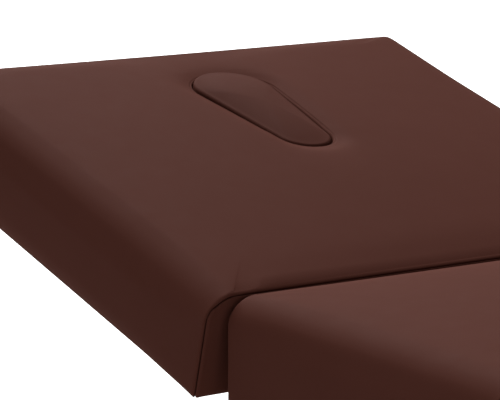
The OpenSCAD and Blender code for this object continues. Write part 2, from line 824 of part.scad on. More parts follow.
module control_box() {
    mid = (column_xs[0] + column_xs[1]) / 2;
    color([0.15, 0.15, 0.16]) translate([mid, 0, rail_z - box_h])
        linear_extrude(height = box_h) round_rect(box_l, box_w, box_r);
}

// Mains inlet under the control box: a shell round three flat pins
module power_inlet() {
    mid = (column_xs[0] + column_xs[1]) / 2;
    color([0.08, 0.08, 0.08]) translate([mid - socket_x, 0, rail_z - box_h - inlet_h]) {
        difference() {
            translate([-inlet_l / 2, -inlet_w / 2, 0]) cube([inlet_l, inlet_w, inlet_h]);
            translate([-inlet_l / 2 + inlet_wall, -inlet_w / 2 + inlet_wall, -inlet_wall])
                cube([inlet_l - 2 * inlet_wall, inlet_w - 2 * inlet_wall, inlet_h]);
        }
        for (i = [-1, 0, 1]) translate([i * inlet_pin_gap, i == 0 ? inlet_pin_l : -inlet_pin_l,
                inlet_h - inlet_wall - inlet_pin_h / 2])
            cube([inlet_pin_w, inlet_pin_l, inlet_pin_h], center = true);
    }
}

// Round socket for a handset's plug
module handset_socket() {
    mid = (column_xs[0] + column_xs[1]) / 2;
    color([0.08, 0.08, 0.08]) translate([mid + socket_x, 0, rail_z - box_h - socket_h])
        difference() {
            cylinder(r = socket_r, h = socket_h);
            translate([0, 0, -over]) cylinder(r = socket_bore_r, h = socket_h - socket_floor + over);
        }
}

// Back section, drawn flat from the tilt line

module back_tube(side) {
    l = back_len - tube_setback - tube_inset;
    color([0.16, 0.16, 0.17]) back_place()
        difference() {
            translate([-tube_setback - l, side * side_y, -frame_drop])
                tube_x(0, l, tube_w, tube_w, tube_wall);
            for (x = rail_bolt_xs)
                translate([-x, side * (side_y - tube_w / 2), (under_z + frame_z) / 2 - tilt_z])
                    along_y(rail_bolt_r, 2 * tube_wall + over);
        }
}

module left_back_tube() { back_tube(-1); }

module right_back_tube() { back_tube(1); }

module back_cross(i) {
    color([0.16, 0.16, 0.17]) back_place() translate([-back_crosses[i], 0, -frame_drop])
        tube_y(back_cross_l, tube_w, tube_w, tube_wall);
}

module lower_back_cross() { back_cross(0); }

module middle_back_cross() { back_cross(1); }

module head_back_cross() { back_cross(2); }

// Curved rail, bolted to the inner face of a side tube by its head end
module guide_rail(side) {
    color([0.62, 0.63, 0.65]) back_place() translate([0, side * rail_y, 0]) difference() {
        side_plate(rail_t) sector(rail_in, rail_out, -rail_end_a, rail_end_a);
        for (x = rail_bolt_xs) translate([-x, 0, (under_z + frame_z) / 2 - tilt_z])
            along_y(rail_bolt_r, rail_t + 2 * over);
    }
}

module left_guide_rail() { guide_rail(-1); }

module right_guide_rail() { guide_rail(1); }

module rail_bolts() {
    y_in = rail_y - rail_t / 2;
    shank_l = rail_t + tube_wall;
    color([0.72, 0.72, 0.74]) back_place() for (s = [-1, 1], x = rail_bolt_xs)
        translate([-x, 0, (under_z + frame_z) / 2 - tilt_z]) {
            translate([0, s * (y_in - rail_bolt_head_h / 2), 0])
                along_y(rail_bolt_head_r, rail_bolt_head_h);
            translate([0, s * (y_in + shank_l / 2), 0]) along_y(rail_bolt_r, shank_l);
        }
}

// Where a rod pin lies in its section's own frame when the section has turned by t degrees
function slot_point(rear, pin0, swing, reach, t) = let (d = pin0 - rear, s0 = norm(d),
        s = s0 + reach * t * PI / 180, u = turned(d / s0, swing * t))
    turned(rear + s * u, -t);

module slot_area(rear, pin0, swing, reach, range) {
    for (i = [0:slot_n]) let (t = range[0] + (range[1] - range[0]) * i / slot_n)
        translate(slot_point(rear, pin0, swing, reach, t)) circle(r = pin_r + slot_play);
}

// Ears under the lower cross tube, slotted for the play of the rod pin
module back_rod_bracket() {
    pin0 = turned(back_pin, rest_tilt);
    color([0.2, 0.2, 0.21]) translate([tilt_x, 0, tilt_z]) ear_pair(actuator_y) difference() {
        rotate(-rest_tilt) polygon([
            [back_pin[0] - 2 * eye_r, -frame_drop], [back_pin[0] + 1.4 * eye_r, -frame_drop],
            [back_pin[0] + 1.4 * eye_r, back_pin[1] - eye_r / 2],
            [back_pin[0] + eye_r / 2, back_pin[1] - 1.4 * eye_r],
            [back_pin[0] - eye_r, back_pin[1] - 1.4 * eye_r],
            [back_pin[0] - 2 * eye_r, back_pin[1] - eye_r / 2]]);
        slot_area(back_rear, pin0, back_swing, back_reach, back_range);
    }
}

module back_board() {
    color([0.78, 0.66, 0.48]) back_pad_place() linear_extrude(height = board_t) difference() {
        board_area(back_len, back_w);
        translate([hole_x, 0]) drop_area(-ledge_w);
    }
}

module back_cushion() {
    color([0.33, 0.21, 0.19]) back_pad_place() holed_cushion(back_len, back_w);
}

module plug_base() {
    color([0.45, 0.36, 0.26]) back_pad_place() translate([hole_x, 0, board_t])
        linear_extrude(height = plug_plate_t) drop_area(-2 * plug_gap);
}

// Crowned teardrop cushion of the plug
module plug_cushion() {
    foot = board_t + plug_plate_t;
    edge = drop_ring(-plug_gap - plug_edge_r);
    rise = plug_rise + crown(back_len, back_w, [hole_x, 0]);
    color([0.34, 0.22, 0.2]) back_pad_place() translate([hole_x, 0, 0]) ringed_solid(concat(
        [at_height(drop_ring(-plug_gap - hem_r), foot),
         at_height(drop_ring(-plug_gap), foot + hem_r)],
        [for (i = [0:round_n]) let (a = 90 * i / round_n)
            at_height(drop_ring(-plug_gap - plug_edge_r * (1 - cos(a))),
                cushion_t + rise - plug_edge_r * (1 - sin(a)))],
        [for (s = plug_top_shares)
            at_height(edge * s,
                cushion_t + rise + plug_crown * (1 - s * s))]),
        [0, 0, foot], [0, 0, cushion_t + rise + plug_crown]);
}

// Leg section

module leg_tube(side) {
    l = leg_len - tube_setback - tube_inset;
    color([0.16, 0.16, 0.17]) translate([leg_x + tube_setback, side * side_y, frame_z])
        tube_x(0, l, tube_w, tube_w, tube_wall);
}

module left_leg_tube() { leg_tube(-1); }

module right_leg_tube() { leg_tube(1); }

module leg_cross(i) {
    color([0.16, 0.16, 0.17]) translate([leg_x + leg_crosses[i], 0, frame_z])
        tube_y(back_cross_l, tube_w, tube_w, tube_wall);
}

module near_leg_cross() { leg_cross(0); }

module far_leg_cross() { leg_cross(1); }

// Knuckle plates on the side tubes' inner faces, each with a bush round the hinge pin
module leg_knuckles() {
    y = side_y - tube_w / 2 - hinge_ear_t / 2;
    color([0.2, 0.2, 0.21]) for (s = [-1, 1])
        translate([leg_x, s * y, leg_z]) side_plate(hinge_ear_t) difference() {
            union() {
                circle(r = hinge_eye_r);
                translate([0, -hinge_eye_r])
                    square([leg_crosses[0] - tube_w / 2, 2 * hinge_eye_r]);
            }
            circle(r = hinge_bush_r);
        }
}

module leg_bushes() {
    y = side_y - tube_w / 2 - hinge_ear_t / 2;
    color([0.9, 0.9, 0.88]) for (s = [-1, 1])
        translate([leg_x, s * y, leg_z]) side_plate(hinge_ear_t) difference() {
            circle(r = hinge_bush_r);
            circle(r = hinge_pin_r + pin_fit);
        }
}

module leg_rod_bracket() {
    top = frame_z - leg_z;
    color([0.2, 0.2, 0.21]) translate([leg_x, 0, leg_z]) ear_pair(-actuator_y) difference() {
        polygon([[leg_pin[0] - eye_r, top], [leg_pin[0] + eye_r, top],
            [leg_pin[0] + eye_r, leg_pin[1] - eye_r / 2],
            [leg_pin[0] + eye_r / 2, leg_pin[1] - eye_r],
            [leg_pin[0] - eye_r / 2, leg_pin[1] - eye_r],
            [leg_pin[0] - eye_r, leg_pin[1] - eye_r / 2]]);
        slot_area(leg_rear, leg_pin, leg_swing, leg_reach, leg_range);
    }
}

module leg_board() {
    color([0.78, 0.66, 0.48]) translate([leg_pad_x, 0, under_z])
        linear_extrude(height = board_t) board_area(leg_len, lower_w);
}

module leg_cushion() {
    color([0.33, 0.21, 0.19]) translate([leg_pad_x, 0, under_z]) plain_cushion(leg_len, lower_w);
}

// Actuators, drawn along +X from the rear pin and then aimed at the rod pin

module aimed(place, rear, pin0) {
    d = pin0 - rear;
    translate([place[0] + rear[0], place[1], place[2] + rear[1]])
        rotate([0, -atan2(d[1], d[0]), 0]) children();
}

// Barrel, gearbox and rear eye; the motor lies on the side that the section leaves free
module actuator_shell(l, motor_side) {
    motor_off = barrel_r + motor_r + over;
    housing_h = gear_w / 2 + motor_off + motor_r;
    difference() {
        union() {
            along_y(eye_r, eye_w);
            translate([0, -eye_w / 2, -eye_r]) cube([gear_x, eye_w, 2 * eye_r]);
            translate([gear_x, 0, motor_side * (housing_h - gear_w) / 2]) rotate([0, 90, 0])
                linear_extrude(height = gear_l) round_rect(housing_h, gear_w, gear_r);
            translate([gear_x, 0, 0]) rotate([0, 90, 0]) cylinder(r = barrel_r, h = l - gear_x);
            translate([l - collar_l, 0, 0]) rotate([0, 90, 0]) cylinder(r = collar_r, h = collar_l);
            translate([gear_x, 0, motor_side * motor_off]) rotate([0, 90, 0])
                cylinder(r = motor_r, h = gear_l + motor_l);
        }
        along_y(pin_r + pin_fit, eye_w + 2 * over);
        translate([bore_x, 0, 0]) rotate([0, 90, 0]) cylinder(r = rod_r + ram_fit, h = l);
    }
}

module actuator_rod(from_l, to_l) {
    difference() {
        union() {
            rotate([0, 90, 0]) translate([0, 0, from_l])
                cylinder(r = rod_r, h = to_l - from_l - eye_r / 2);
            translate([to_l, 0, 0]) along_y(eye_r, eye_w);
        }
        translate([to_l, 0, 0]) along_y(pin_r, eye_w + 2 * over);
    }
}

back_at = [tilt_x, actuator_y, tilt_z];
back_pin0 = turned(back_pin, rest_tilt);
leg_at = [leg_x, -actuator_y, leg_z];
bore_x = gear_x + gear_l + over;

module back_actuator() {
    color([0.82, 0.82, 0.82]) aimed(back_at, back_rear, back_pin0)
        actuator_shell(barrel_back_l, 1);
}

module back_rod() {
    d = norm(back_pin0 - back_rear);
    stroke = back_reach * -back_range[0] * PI / 180;
    color([0.75, 0.75, 0.77]) aimed(back_at, back_rear, back_pin0)
        actuator_rod(bore_x + stroke + rod_lap, d);
}

module back_rod_pin() {
    color([0.72, 0.72, 0.74]) aimed(back_at, back_rear, back_pin0)
        translate([norm(back_pin0 - back_rear), 0, 0]) cross_pin(pin_r);
}

module leg_actuator() {
    color([0.82, 0.82, 0.82]) aimed(leg_at, leg_rear, leg_pin) actuator_shell(barrel_leg_l, -1);
}

module leg_rod() {
    d = norm(leg_pin - leg_rear);
    stroke = -leg_reach * leg_range[1] * PI / 180;
    color([0.75, 0.75, 0.77]) aimed(leg_at, leg_rear, leg_pin)
        actuator_rod(bore_x + stroke + rod_lap, d);
}

module leg_rod_pin() {
    color([0.72, 0.72, 0.74]) aimed(leg_at, leg_rear, leg_pin)
        translate([norm(leg_pin - leg_rear), 0, 0]) cross_pin(pin_r);
}

left_runner();
right_runner();
runner_caps();
head_base_cross();
foot_base_cross();
outer_columns();
outer_glides();
lift_motors();
base_cover();
rubber_feet();
base_bolts();
middle_columns();
middle_glides();
ram_sleeves();
inner_columns();
ram_rods();
column_plates();
left_chassis_rail();
right_chassis_rail();
head_seat_cross();
foot_seat_cross();
seat_board();
seat_cushion();
guide_plates();
guide_blocks();
actuator_arms();
actuator_pins();
leg_hinge_ears();
leg_hinge_pins();
control_box();
power_inlet();
handset_socket();
left_back_tube();
right_back_tube();
lower_back_cross();
middle_back_cross();
head_back_cross();
left_guide_rail();
right_guide_rail();
rail_bolts();
back_rod_bracket();
back_board();
back_cushion();
plug_base();
plug_cushion();
left_leg_tube();
right_leg_tube();
near_leg_cross();
far_leg_cross();
leg_knuckles();
leg_bushes();
leg_rod_bracket();
leg_board();
leg_cushion();
back_actuator();
back_rod();
back_rod_pin();
leg_actuator();
leg_rod();
leg_rod_pin();
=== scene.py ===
import json
import math

import bpy
import numpy as np
from mathutils import Matrix, Vector, noise


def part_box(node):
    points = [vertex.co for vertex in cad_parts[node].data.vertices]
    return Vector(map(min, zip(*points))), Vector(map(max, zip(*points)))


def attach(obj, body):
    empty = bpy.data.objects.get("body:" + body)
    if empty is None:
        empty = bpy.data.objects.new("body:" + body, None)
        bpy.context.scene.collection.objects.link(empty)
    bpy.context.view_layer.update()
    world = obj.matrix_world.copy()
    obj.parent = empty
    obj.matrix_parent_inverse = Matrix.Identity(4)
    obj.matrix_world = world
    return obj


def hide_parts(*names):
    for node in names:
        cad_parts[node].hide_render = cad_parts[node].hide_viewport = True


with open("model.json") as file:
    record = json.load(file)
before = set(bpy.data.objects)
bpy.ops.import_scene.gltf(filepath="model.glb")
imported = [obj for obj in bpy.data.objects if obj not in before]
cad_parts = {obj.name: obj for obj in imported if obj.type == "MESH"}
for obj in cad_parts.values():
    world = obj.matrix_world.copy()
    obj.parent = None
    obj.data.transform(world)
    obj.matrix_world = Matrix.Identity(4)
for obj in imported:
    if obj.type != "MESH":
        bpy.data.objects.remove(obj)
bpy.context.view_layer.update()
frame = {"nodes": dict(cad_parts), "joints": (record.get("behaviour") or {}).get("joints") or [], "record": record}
nodes = frame["nodes"]
scene = bpy.context.scene

# Sizes of the upholstery
BACK_LEN, SEAT_LEN, LEG_LEN = 0.72, 0.50, 0.64
BACK_W, LOWER_W = 0.80, 0.76
JOINT_GAP = 0.006
THICK = 0.135
CROWN = 0.009
SIDE_R = 0.040  # rounding of the top edge along the sides
END_R = 0.008  # and along the ends
CORNER_R, LEAST_CORNER_R = 0.008, 0.002  # rounding of the corners, and its least further in
HEM_R = 0.008  # rounding of the lower edge
SIDE_PULL = 0.004  # how far the middle of a side is drawn in
END_PULL = 0.001  # and the middle of an end
END_PUFF = 0.0012  # how far an end swells past a straight wall, halfway up
WRAP_W = 0.012  # from the outside of a cushion to its board
BOARD_T = 0.018
POCKET_R = 0.0108  # corners of the pocket that the board sits in

# The face hole and its plug
HOLE_LEN, HOLE_WIDE_R, HOLE_TIP_R = 0.270, 0.0595, 0.0395
HOLE_FROM_HEAD = 0.0935
HOLE_SLACK = 0.003  # how much the hole widens below its lip
LIP_R = 0.004
LIP_DIP, DIP_W = 0.0034, 0.015  # how far the top sinks at the hole, and over what width
PLUG_GAP = 0.0014
PLUG_RISE = -0.0022  # height of the plug's edge over the cushion's top, the hole left out
PLUG_CROWN, PLUG_EDGE_R = 0.0098, 0.0045
PLUG_PLATE_T = 0.006

# Seams round the end panels: their place on the edge and the corner in degrees, how they turn
# down at a shoulder, their groove with the raised lips beside it, and the puckers at a turn
SEAM_A, SEAM_CORNER_A = 36, 45
SEAM_TURN, SEAM_TURN_RUN, SEAM_FADE = 0.006, 0.006, 0.09
SEAM_DEPTH, SEAM_WIDTH = 0.0026, 0.0008
LIP_H, LIP_W = 0.0003, 0.0032
# How wide the painted shade along a seam's groove is, and the most it darkens the colour
PAINTED_SHADE_W, PAINTED_SHADE_DARK = 0.0007, 0.8
PUCKERS, PUCKER_H, PUCKER_REACH = 2, 0.00015, 0.004

# Cushion covers are blown up by a cloth simulation. Their points then move by less than SWELL,
# and nearer to a corner than CORNER_CALM by less still, down to a LEAST_SWELL share of it.
SIM_FRAMES, CLOTH_QUALITY, CLOTH_MASS = 20, 6, 0.4
PRESSURE, STIFFNESS, BENDING = 4, 30, 2
SWELL, END_SWELL = 0.0030, 0.0010
CORNER_CALM, LEAST_SWELL = 0.16, 0.15

# How the surfaces are drawn: where a shoulder's own points end, in degrees, how closely rings
# bunch up at the hole, the seam and the corner, and the plug's points and rings
SHOULDER_A = 72
TOP_BUNCH, EDGE_BUNCH, CORNER_BUNCH = 1.5, 1.7, 2.2
PLUG_POINTS, PLUG_EDGE_RINGS, PLUG_RINGS, PLUG_RING_STEP = 144, 10, 11, 0.08
TINY = 1e-12  # keeps a division from being by zero

# Small pieces: tube caps, screws, the covers' hems and their staples
EDGE_A = 40  # a sharper edge than this, in degrees, is shaded sharp
SINK = 0.0003  # how far hems and staples reach into what they lie on
CAP_T, CAP_EDGE, CAP_R, CAP_SINK = 0.0022, 0.0008, 0.003, 0.001
SCREW_TOP, SOCKET_R, SOCKET_FLOOR = 0.5, 0.42, 0.15  # shares of the head's radius
SCREW_HEAD = ((1, -0.1), (1, 0.08), (0.94, 0.25), (0.76, 0.42), (0.55, SCREW_TOP))
BOARD_SCREW_R = 0.0065
BACK_SCREWS = (0.12, 0.37, 0.63, 0.88)  # shares of a tube's length
SEAT_SCREWS = (0.06, 0.3, 0.7, 0.94)
LEG_SCREWS = (0.14, 0.5, 0.86)
COVER_SCREW_R, COVER_SCREW_INSET = 0.005, 0.06
BOX_SCREW_R, BOX_SCREW_INSET = 0.003, 0.012
HEM_OUT, HEM_IN = 0.010, 0.034  # from the cushion's outside to a hem's two edges
HEM_T, HEM_STEP = 0.0008, 0.018
HEM_WAVE, HEM_WAVE_SCALE, HEM_WAVE_PLANE = 0.0025, 40, 3
FRAME_ZONE = (0.183, 0.247)  # where a frame's tubes leave no room for a hem, from the middle
STAPLE_L, STAPLE_W, STAPLE_T, STAPLE_STEP = 0.011, 0.0013, 0.0006, 0.034
STAPLE_FLAT, STAPLE_END = 0.86, 0.0001
STAPLE_INWARD = 0.6  # share of HEM_IN
STAPLE_TURN, STAPLE_TURN_SCALE = 0.15, 60

# Plywood: two plies, one dark and one light, and where a surface counts as a face
PLY_PAIR = 0.004
FACE_FROM = 0.7

# Studio: the sky is white where it is seen directly, and a floor that is seen directly glows
# white too, less so near the object, where its shadow lies
SKY_LEVEL, FLOOR_GLOW = 0.16, 0.3
FLOOR_R, GLOW_NEAR, GLOW_FAR = 9, 1.0, 3.2

# Places taken from the frame
joints = {j["name"]: j for j in frame["joints"]}
TILT = Vector(joints["back_tilt"]["pos_m"])
REST_TILT = math.asin(joints["plug_lift_out"]["axis"][0])
UNDER_Z = TILT.z + END_R - THICK
back_frame = Matrix.Translation(TILT) @ Matrix.Rotation(REST_TILT, 4, "Y")
back_pad = back_frame @ Matrix.Translation((-(JOINT_GAP + BACK_LEN) / 2, 0, END_R - THICK))
seat_pad = Matrix.Translation((TILT.x + (JOINT_GAP + SEAT_LEN) / 2, 0, UNDER_Z))
leg_pad = Matrix.Translation(
    (TILT.x + 1.5 * JOINT_GAP + SEAT_LEN + LEG_LEN / 2, 0, UNDER_Z))
HOLE_X = HOLE_FROM_HEAD + HOLE_LEN / 2 - BACK_LEN / 2
DOWN = Vector((0, 0, -1))

# Camera: the photograph shows the back cushion's near foot corner at this pixel
PHOTO_W, PHOTO_H = 500, 400
CORNER_PX = (209.24, 297.61)
CAM_YAW, CAM_PITCH = math.radians(33.96), math.radians(10.2)
FOCAL_PX = 2768.6
CORNER_DIST = 3.2
SENSOR = 36.0


def make_camera():
    """The photograph's view, with that corner at its pixel."""
    data = bpy.data.cameras.new("camera")
    data.sensor_width = SENSOR
    data.lens = SENSOR * FOCAL_PX / PHOTO_W
    cam = bpy.data.objects.new("camera", data)
    scene.collection.objects.link(cam)
    ahead = Vector((-math.cos(CAM_YAW) * math.cos(CAM_PITCH),
                    math.sin(CAM_YAW) * math.cos(CAM_PITCH), -math.sin(CAM_PITCH)))
    right = ahead.cross(Vector((0, 0, 1))).normalized()
    down = ahead.cross(right)
    corner = back_frame @ Vector((-JOINT_GAP / 2, -BACK_W / 2, END_R))
    off_x = (CORNER_PX[0] - PHOTO_W / 2) / FOCAL_PX * CORNER_DIST
    off_y = (CORNER_PX[1] - PHOTO_H / 2) / FOCAL_PX * CORNER_DIST
    cam.location = corner - ahead * CORNER_DIST - right * off_x - down * off_y
    cam.rotation_mode = "QUATERNION"
    turn = Matrix((right, -down, -ahead)).transposed()
    cam.rotation_quaternion = turn.to_quaternion()
    data.clip_start, data.clip_end = 0.05, 100
    scene.camera = cam


# Cushion surfaces: rings of points, from the board's pocket round the edge and over the top

def arc_drop(r, t):
    """How far a rounding of radius r has fallen, t beyond its start."""
    return np.where(t <= 0, 0, r - np.sqrt(np.maximum(0, r * r - t * t)))


def bump_share(x, half):
    """1 in the middle, and 0 from half outwards."""
    return 1 - np.minimum(1, np.abs(x) / half) ** 2


class Around:
    """Where the points of a ring lie, a quarter at a time: end, shoulder, corner and side.

    Corner angles are in degrees from the end to the side, and one of them is the seam's."""

    def __init__(self, width, end_n, shoulder_n, corner_angles, side_n):
        shoulder = 2 * SIDE_R / width
        shoulder_a = np.radians(SHOULDER_A) * np.arange(shoulder_n) / shoulder_n
        self.end = np.concatenate([(1 - shoulder) * np.arange(end_n) / end_n,
                                   1 - shoulder * (1 - np.sin(shoulder_a))])
        self.corner = np.radians(corner_angles)
        self.side = 1 - np.arange(1, side_n + 1) / side_n
        corner_n = len(corner_angles) - 1
        self.count = 4 * (end_n + shoulder_n + corner_n + side_n)
        self.shoulder = end_n
        self.seam = end_n + shoulder_n + corner_angles.index(SEAM_CORNER_A)

    def ring(self, length, width, e, s, r):
        """A rounded rectangle of corner radius r, e inside the ends and s inside the sides."""
        x, y = length / 2 - e, width / 2 - s
        quarter = np.concatenate([
            np.stack([np.full(len(self.end), x), (y - r) * self.end], 1),
            np.stack([x - r + r * np.cos(self.corner), y - r + r * np.sin(self.corner)], 1),
            np.stack([self.side * (x - r), np.full(len(self.side), y)], 1)])
        return np.concatenate([quarter, quarter[-2::-1] * (-1, 1),
                               quarter[1:] * (-1, -1), quarter[-2:0:-1] * (1, -1)])


def drop_points(shares, e):
    """The teardrop hole's outline grown by e, at shares of its length from the narrow end."""
    cw, ct = HOLE_WIDE_R - HOLE_LEN / 2, HOLE_LEN / 2 - HOLE_TIP_R
    lean = math.acos((HOLE_WIDE_R - HOLE_TIP_R) / (ct - cw))
    flank = math.hypot(ct - cw, HOLE_WIDE_R - HOLE_TIP_R)
    tip_len, wide_len = HOLE_TIP_R * lean, HOLE_WIDE_R * (math.pi - lean)
    half = tip_len + flank + wide_len
    side = np.where(shares <= 0.5, 1, -1)
    d = 2 * half * np.where(shares <= 0.5, shares, 1 - shares)
    on_tip, on_wide = d < tip_len, d > tip_len + flank
    a = np.where(on_tip, d / HOLE_TIP_R, lean)
    a = np.where(on_wide, lean + (d - tip_len - flank) / HOLE_WIDE_R, a)
    t = np.clip((d - tip_len) / flank, 0, 1)
    centre = ct + (cw - ct) * t
    radius = HOLE_TIP_R + (HOLE_WIDE_R - HOLE_TIP_R) * t + e
    return np.stack([centre + radius * np.cos(a), side * radius * np.sin(a)], 1)


def lifted(points, z):
    """Flat points, given a height."""
    return np.column_stack([points, np.broadcast_to(z, len(points))])


def top_z(length, width, p):
    """Height of a cushion's top: its crown, less the rounding at its edges."""
    crown = CROWN * bump_share(p[:, 0], length / 2 - END_R) \
        * bump_share(p[:, 1], width / 2 - SIDE_R)
    return THICK + crown - arc_drop(SIDE_R, np.abs(p[:, 1]) - width / 2 + SIDE_R) \
        - arc_drop(END_R, np.abs(p[:, 0]) - length / 2 + END_R)


def drawn(length, width, p):
    """Points drawn in towards the middle of each side, as a tight cover does."""
    q = p.copy()
    q[:, 0] *= 1 - 2 * END_PULL / length * bump_share(p[:, 1], width / 2)
    q[:, 1] *= 1 - 2 * SIDE_PULL / width * bump_share(p[:, 0], length / 2)
    return q


def puffed(length, width, p, s):
    """Points of the wall, at share s of its height, with the ends swelling outwards."""
    q = p.copy()
    swell = 8 * (END_PULL + END_PUFF) * s * (1 - s) / length
    q[:, 0] *= 1 + swell * bump_share(p[:, 1], width / 2)
    return q


class Pad:
    """Rings of one cushion, from the board's pocket round the edge and over the top.

    Each ring has a stage, by which a ring of a coarse pad finds its place on a fine one."""

    def __init__(self, length, width, hole, around, hem_n, wall_n, edge_angles, top_n, lip_n):
        self.length, self.width, self.around, self.hole = length, width, around, hole
        self.rings, self.stage = [], []
        outline = around.ring(length, width, 0, 0, CORNER_R)
        steps = np.hypot(*(np.roll(outline, -1, 0) - outline).T)
        self.perimeter = steps.sum()
        self.shares = np.concatenate([[0], np.cumsum(steps)[:-1]]) / self.perimeter
        self.add_pocket()
        self.add_hem(hem_n)
        self.add_wall(wall_n)
        self.add_edge(edge_angles)
        if hole:
            self.add_holed_top(top_n)
            self.add_hole(lip_n)
        else:
            self.add_top(top_n)
        self.points = np.array(self.rings)

    def add(self, stage, ring):
        self.stage.append(stage)
        self.rings.append(ring)

    def add_pocket(self):
        pocket = self.around.ring(self.length, self.width, WRAP_W, WRAP_W, POCKET_R)
        self.add(0, lifted(pocket, BOARD_T))
        self.add(1, lifted(pocket, 0))

    def add_hem(self, n):
        self.hem_start = len(self.rings)
        for i in range(n + 1):
            self.add(2 + i / n, self.hem_ring(90 * i / n))

    def add_wall(self, n):
        hem, edge = self.rings[-1], self.edge_ring(0)
        for i in range(1, n):
            s = (1 - math.cos(math.pi * i / n)) / 2
            self.add(3 + s, puffed(self.length, self.width, hem + (edge - hem) * s, s))

    def add_edge(self, angles):
        self.seam_ring = len(self.rings) + angles.index(SEAM_A)
        for a in angles:
            self.add(4 + a / 90, self.edge_ring(a))

    def add_top(self, n):
        outline = self.rings[-1][:, :2]
        for i in range(1, n):
            self.add(5 + i / n, self.top_ring(outline * (1 - i / n), 0))

    def add_holed_top(self, n):
        outline, lip = self.rings[-1][:, :2], self.hole_outline(LIP_R)
        for i in range(1, n):
            s = 1 - (1 - i / n) ** TOP_BUNCH
            p = outline + (lip - outline) * s
            away = np.hypot(*(p - lip).T)
            self.add(5 + s, self.top_ring(p, LIP_DIP * np.exp(-(away / DIP_W) ** 2)))

    def add_hole(self, n):
        lip, wall = self.hole_outline(LIP_R), self.hole_outline(0)
        for i in range(n + 1):
            a = math.pi / 2 * i / n
            p = lip + (wall - lip) * math.sin(a)
            self.add(6 + i / n, self.top_ring(p, LIP_DIP + LIP_R * (1 - math.cos(a))))
        foot = self.hole_outline(HOLE_SLACK)
        self.add(8, lifted(foot, (THICK + BOARD_T) / 2))
        self.add(9, lifted(foot, BOARD_T))

    def hole_outline(self, e):
        return drop_points(self.shares, e) + (HOLE_X, 0)

    def hem_ring(self, a):
        """The rounding under the side, a degrees on from the underside."""
        a = math.radians(a)
        d = HEM_R * (1 - math.sin(a))
        p = self.around.ring(self.length, self.width, d, d, max(CORNER_R - d, LEAST_CORNER_R))
        return drawn(self.length, self.width, lifted(p, HEM_R * (1 - math.cos(a))))

    def edge_ring(self, a):
        """The rounding of the top edge, a degrees on from the side."""
        a = math.radians(a)
        e, s = END_R * (1 - math.cos(a)), SIDE_R * (1 - math.cos(a))
        p = self.around.ring(self.length, self.width, e, s, max(CORNER_R - e, LEAST_CORNER_R))
        return drawn(self.length, self.width, lifted(p, top_z(self.length, self.width, p)))

    def top_ring(self, p, sink):
        """Points on the top, sunk a little below it."""
        return lifted(p, top_z(self.length, self.width, p) - sink)

    def mesh(self, name, points):
        top = None
        if not self.hole:
            top = np.array([[0, 0, 2 * points[-1, :, 2].mean() - points[-2, :, 2].mean()]])
        return grid_mesh(name, points, self.hole, cap_low=not self.hole, top=top)

    def end_columns(self):
        """The columns of both end panels, each from one corner seam to the other."""
        n, seam = self.around.count, self.around.seam
        return [np.arange(-seam, seam + 1) % n, np.arange(n // 2 - seam, n // 2 + seam + 1)]

    def corner_columns(self):
        n, seam = self.around.count, self.around.seam
        return [seam, n // 2 - seam, n // 2 + seam, n - seam]

    def held(self):
        """Points that the board, the seams and the staples hold still."""
        mask = np.zeros(self.points.shape[:2], bool)
        mask[:self.hem_start + 1] = True
        if self.hole:
            mask[-2:] = True
        for columns in self.end_columns():
            mask[self.seam_ring, columns] = True
        mask[self.hem_start:self.seam_ring + 1, self.corner_columns()] = True
        return mask


def grid_mesh(name, points, closed, cap_low=False, top=None):
    """A mesh of rings by points. closed joins the last ring to the first."""
    rings, n = points.shape[:2]
    verts = points.reshape(-1, 3)
    faces = []
    for j in range(rings if closed else rings - 1):
        a, b = j * n, (j + 1) % rings * n
        faces += [(a + k, a + (k + 1) % n, b + (k + 1) % n, b + k) for k in range(n)]
    if cap_low:
        faces.append(tuple(range(n - 1, -1, -1)))
    if top is not None:
        verts = np.vstack([verts, top])
        last = (rings - 1) * n
        faces += [(last + k, last + (k + 1) % n, len(verts) - 1) for k in range(n)]
    mesh = bpy.data.meshes.new(name)
    mesh.from_pydata(verts.tolist(), [], faces)
    mesh.update()
    mesh.shade_smooth()
    return mesh


def place(name, mesh, matrix, body, material):
    """Puts a mesh in the scene as a piece that rides on a body."""
    obj = bpy.data.objects.new(name, mesh)
    scene.collection.objects.link(obj)
    obj.matrix_world = matrix
    mesh.materials.clear()
    mesh.materials.append(material)
    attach(obj, body)
    return obj


def vertex_normals(points, closed):
    """Outward normals of a grid of rings."""
    across = np.roll(points, -1, 1) - np.roll(points, 1, 1)
    if closed:
        along = np.roll(points, -1, 0) - np.roll(points, 1, 0)
    else:
        along = np.gradient(points, axis=0)
    n = np.cross(across, along)
    return n / np.maximum(np.linalg.norm(n, axis=2, keepdims=True), TINY)


def make_cloth(obj, held):
    """Makes an object a cloth under pressure, with some of its points held still."""
    group = obj.vertex_groups.new(name="held")
    group.add(np.flatnonzero(held).tolist(), 1.0, "REPLACE")
    cloth = obj.modifiers.new("cloth", "CLOTH")
    settings = cloth.settings
    settings.quality = CLOTH_QUALITY
    settings.mass = CLOTH_MASS
    settings.tension_stiffness = STIFFNESS
    settings.compression_stiffness = STIFFNESS
    settings.bending_stiffness = BENDING
    settings.vertex_group_mass = group.name
    settings.use_pressure = True
    settings.uniform_pressure_force = PRESSURE
    settings.effector_weights.gravity = 0
    cloth.point_cache.frame_start, cloth.point_cache.frame_end = 1, SIM_FRAMES


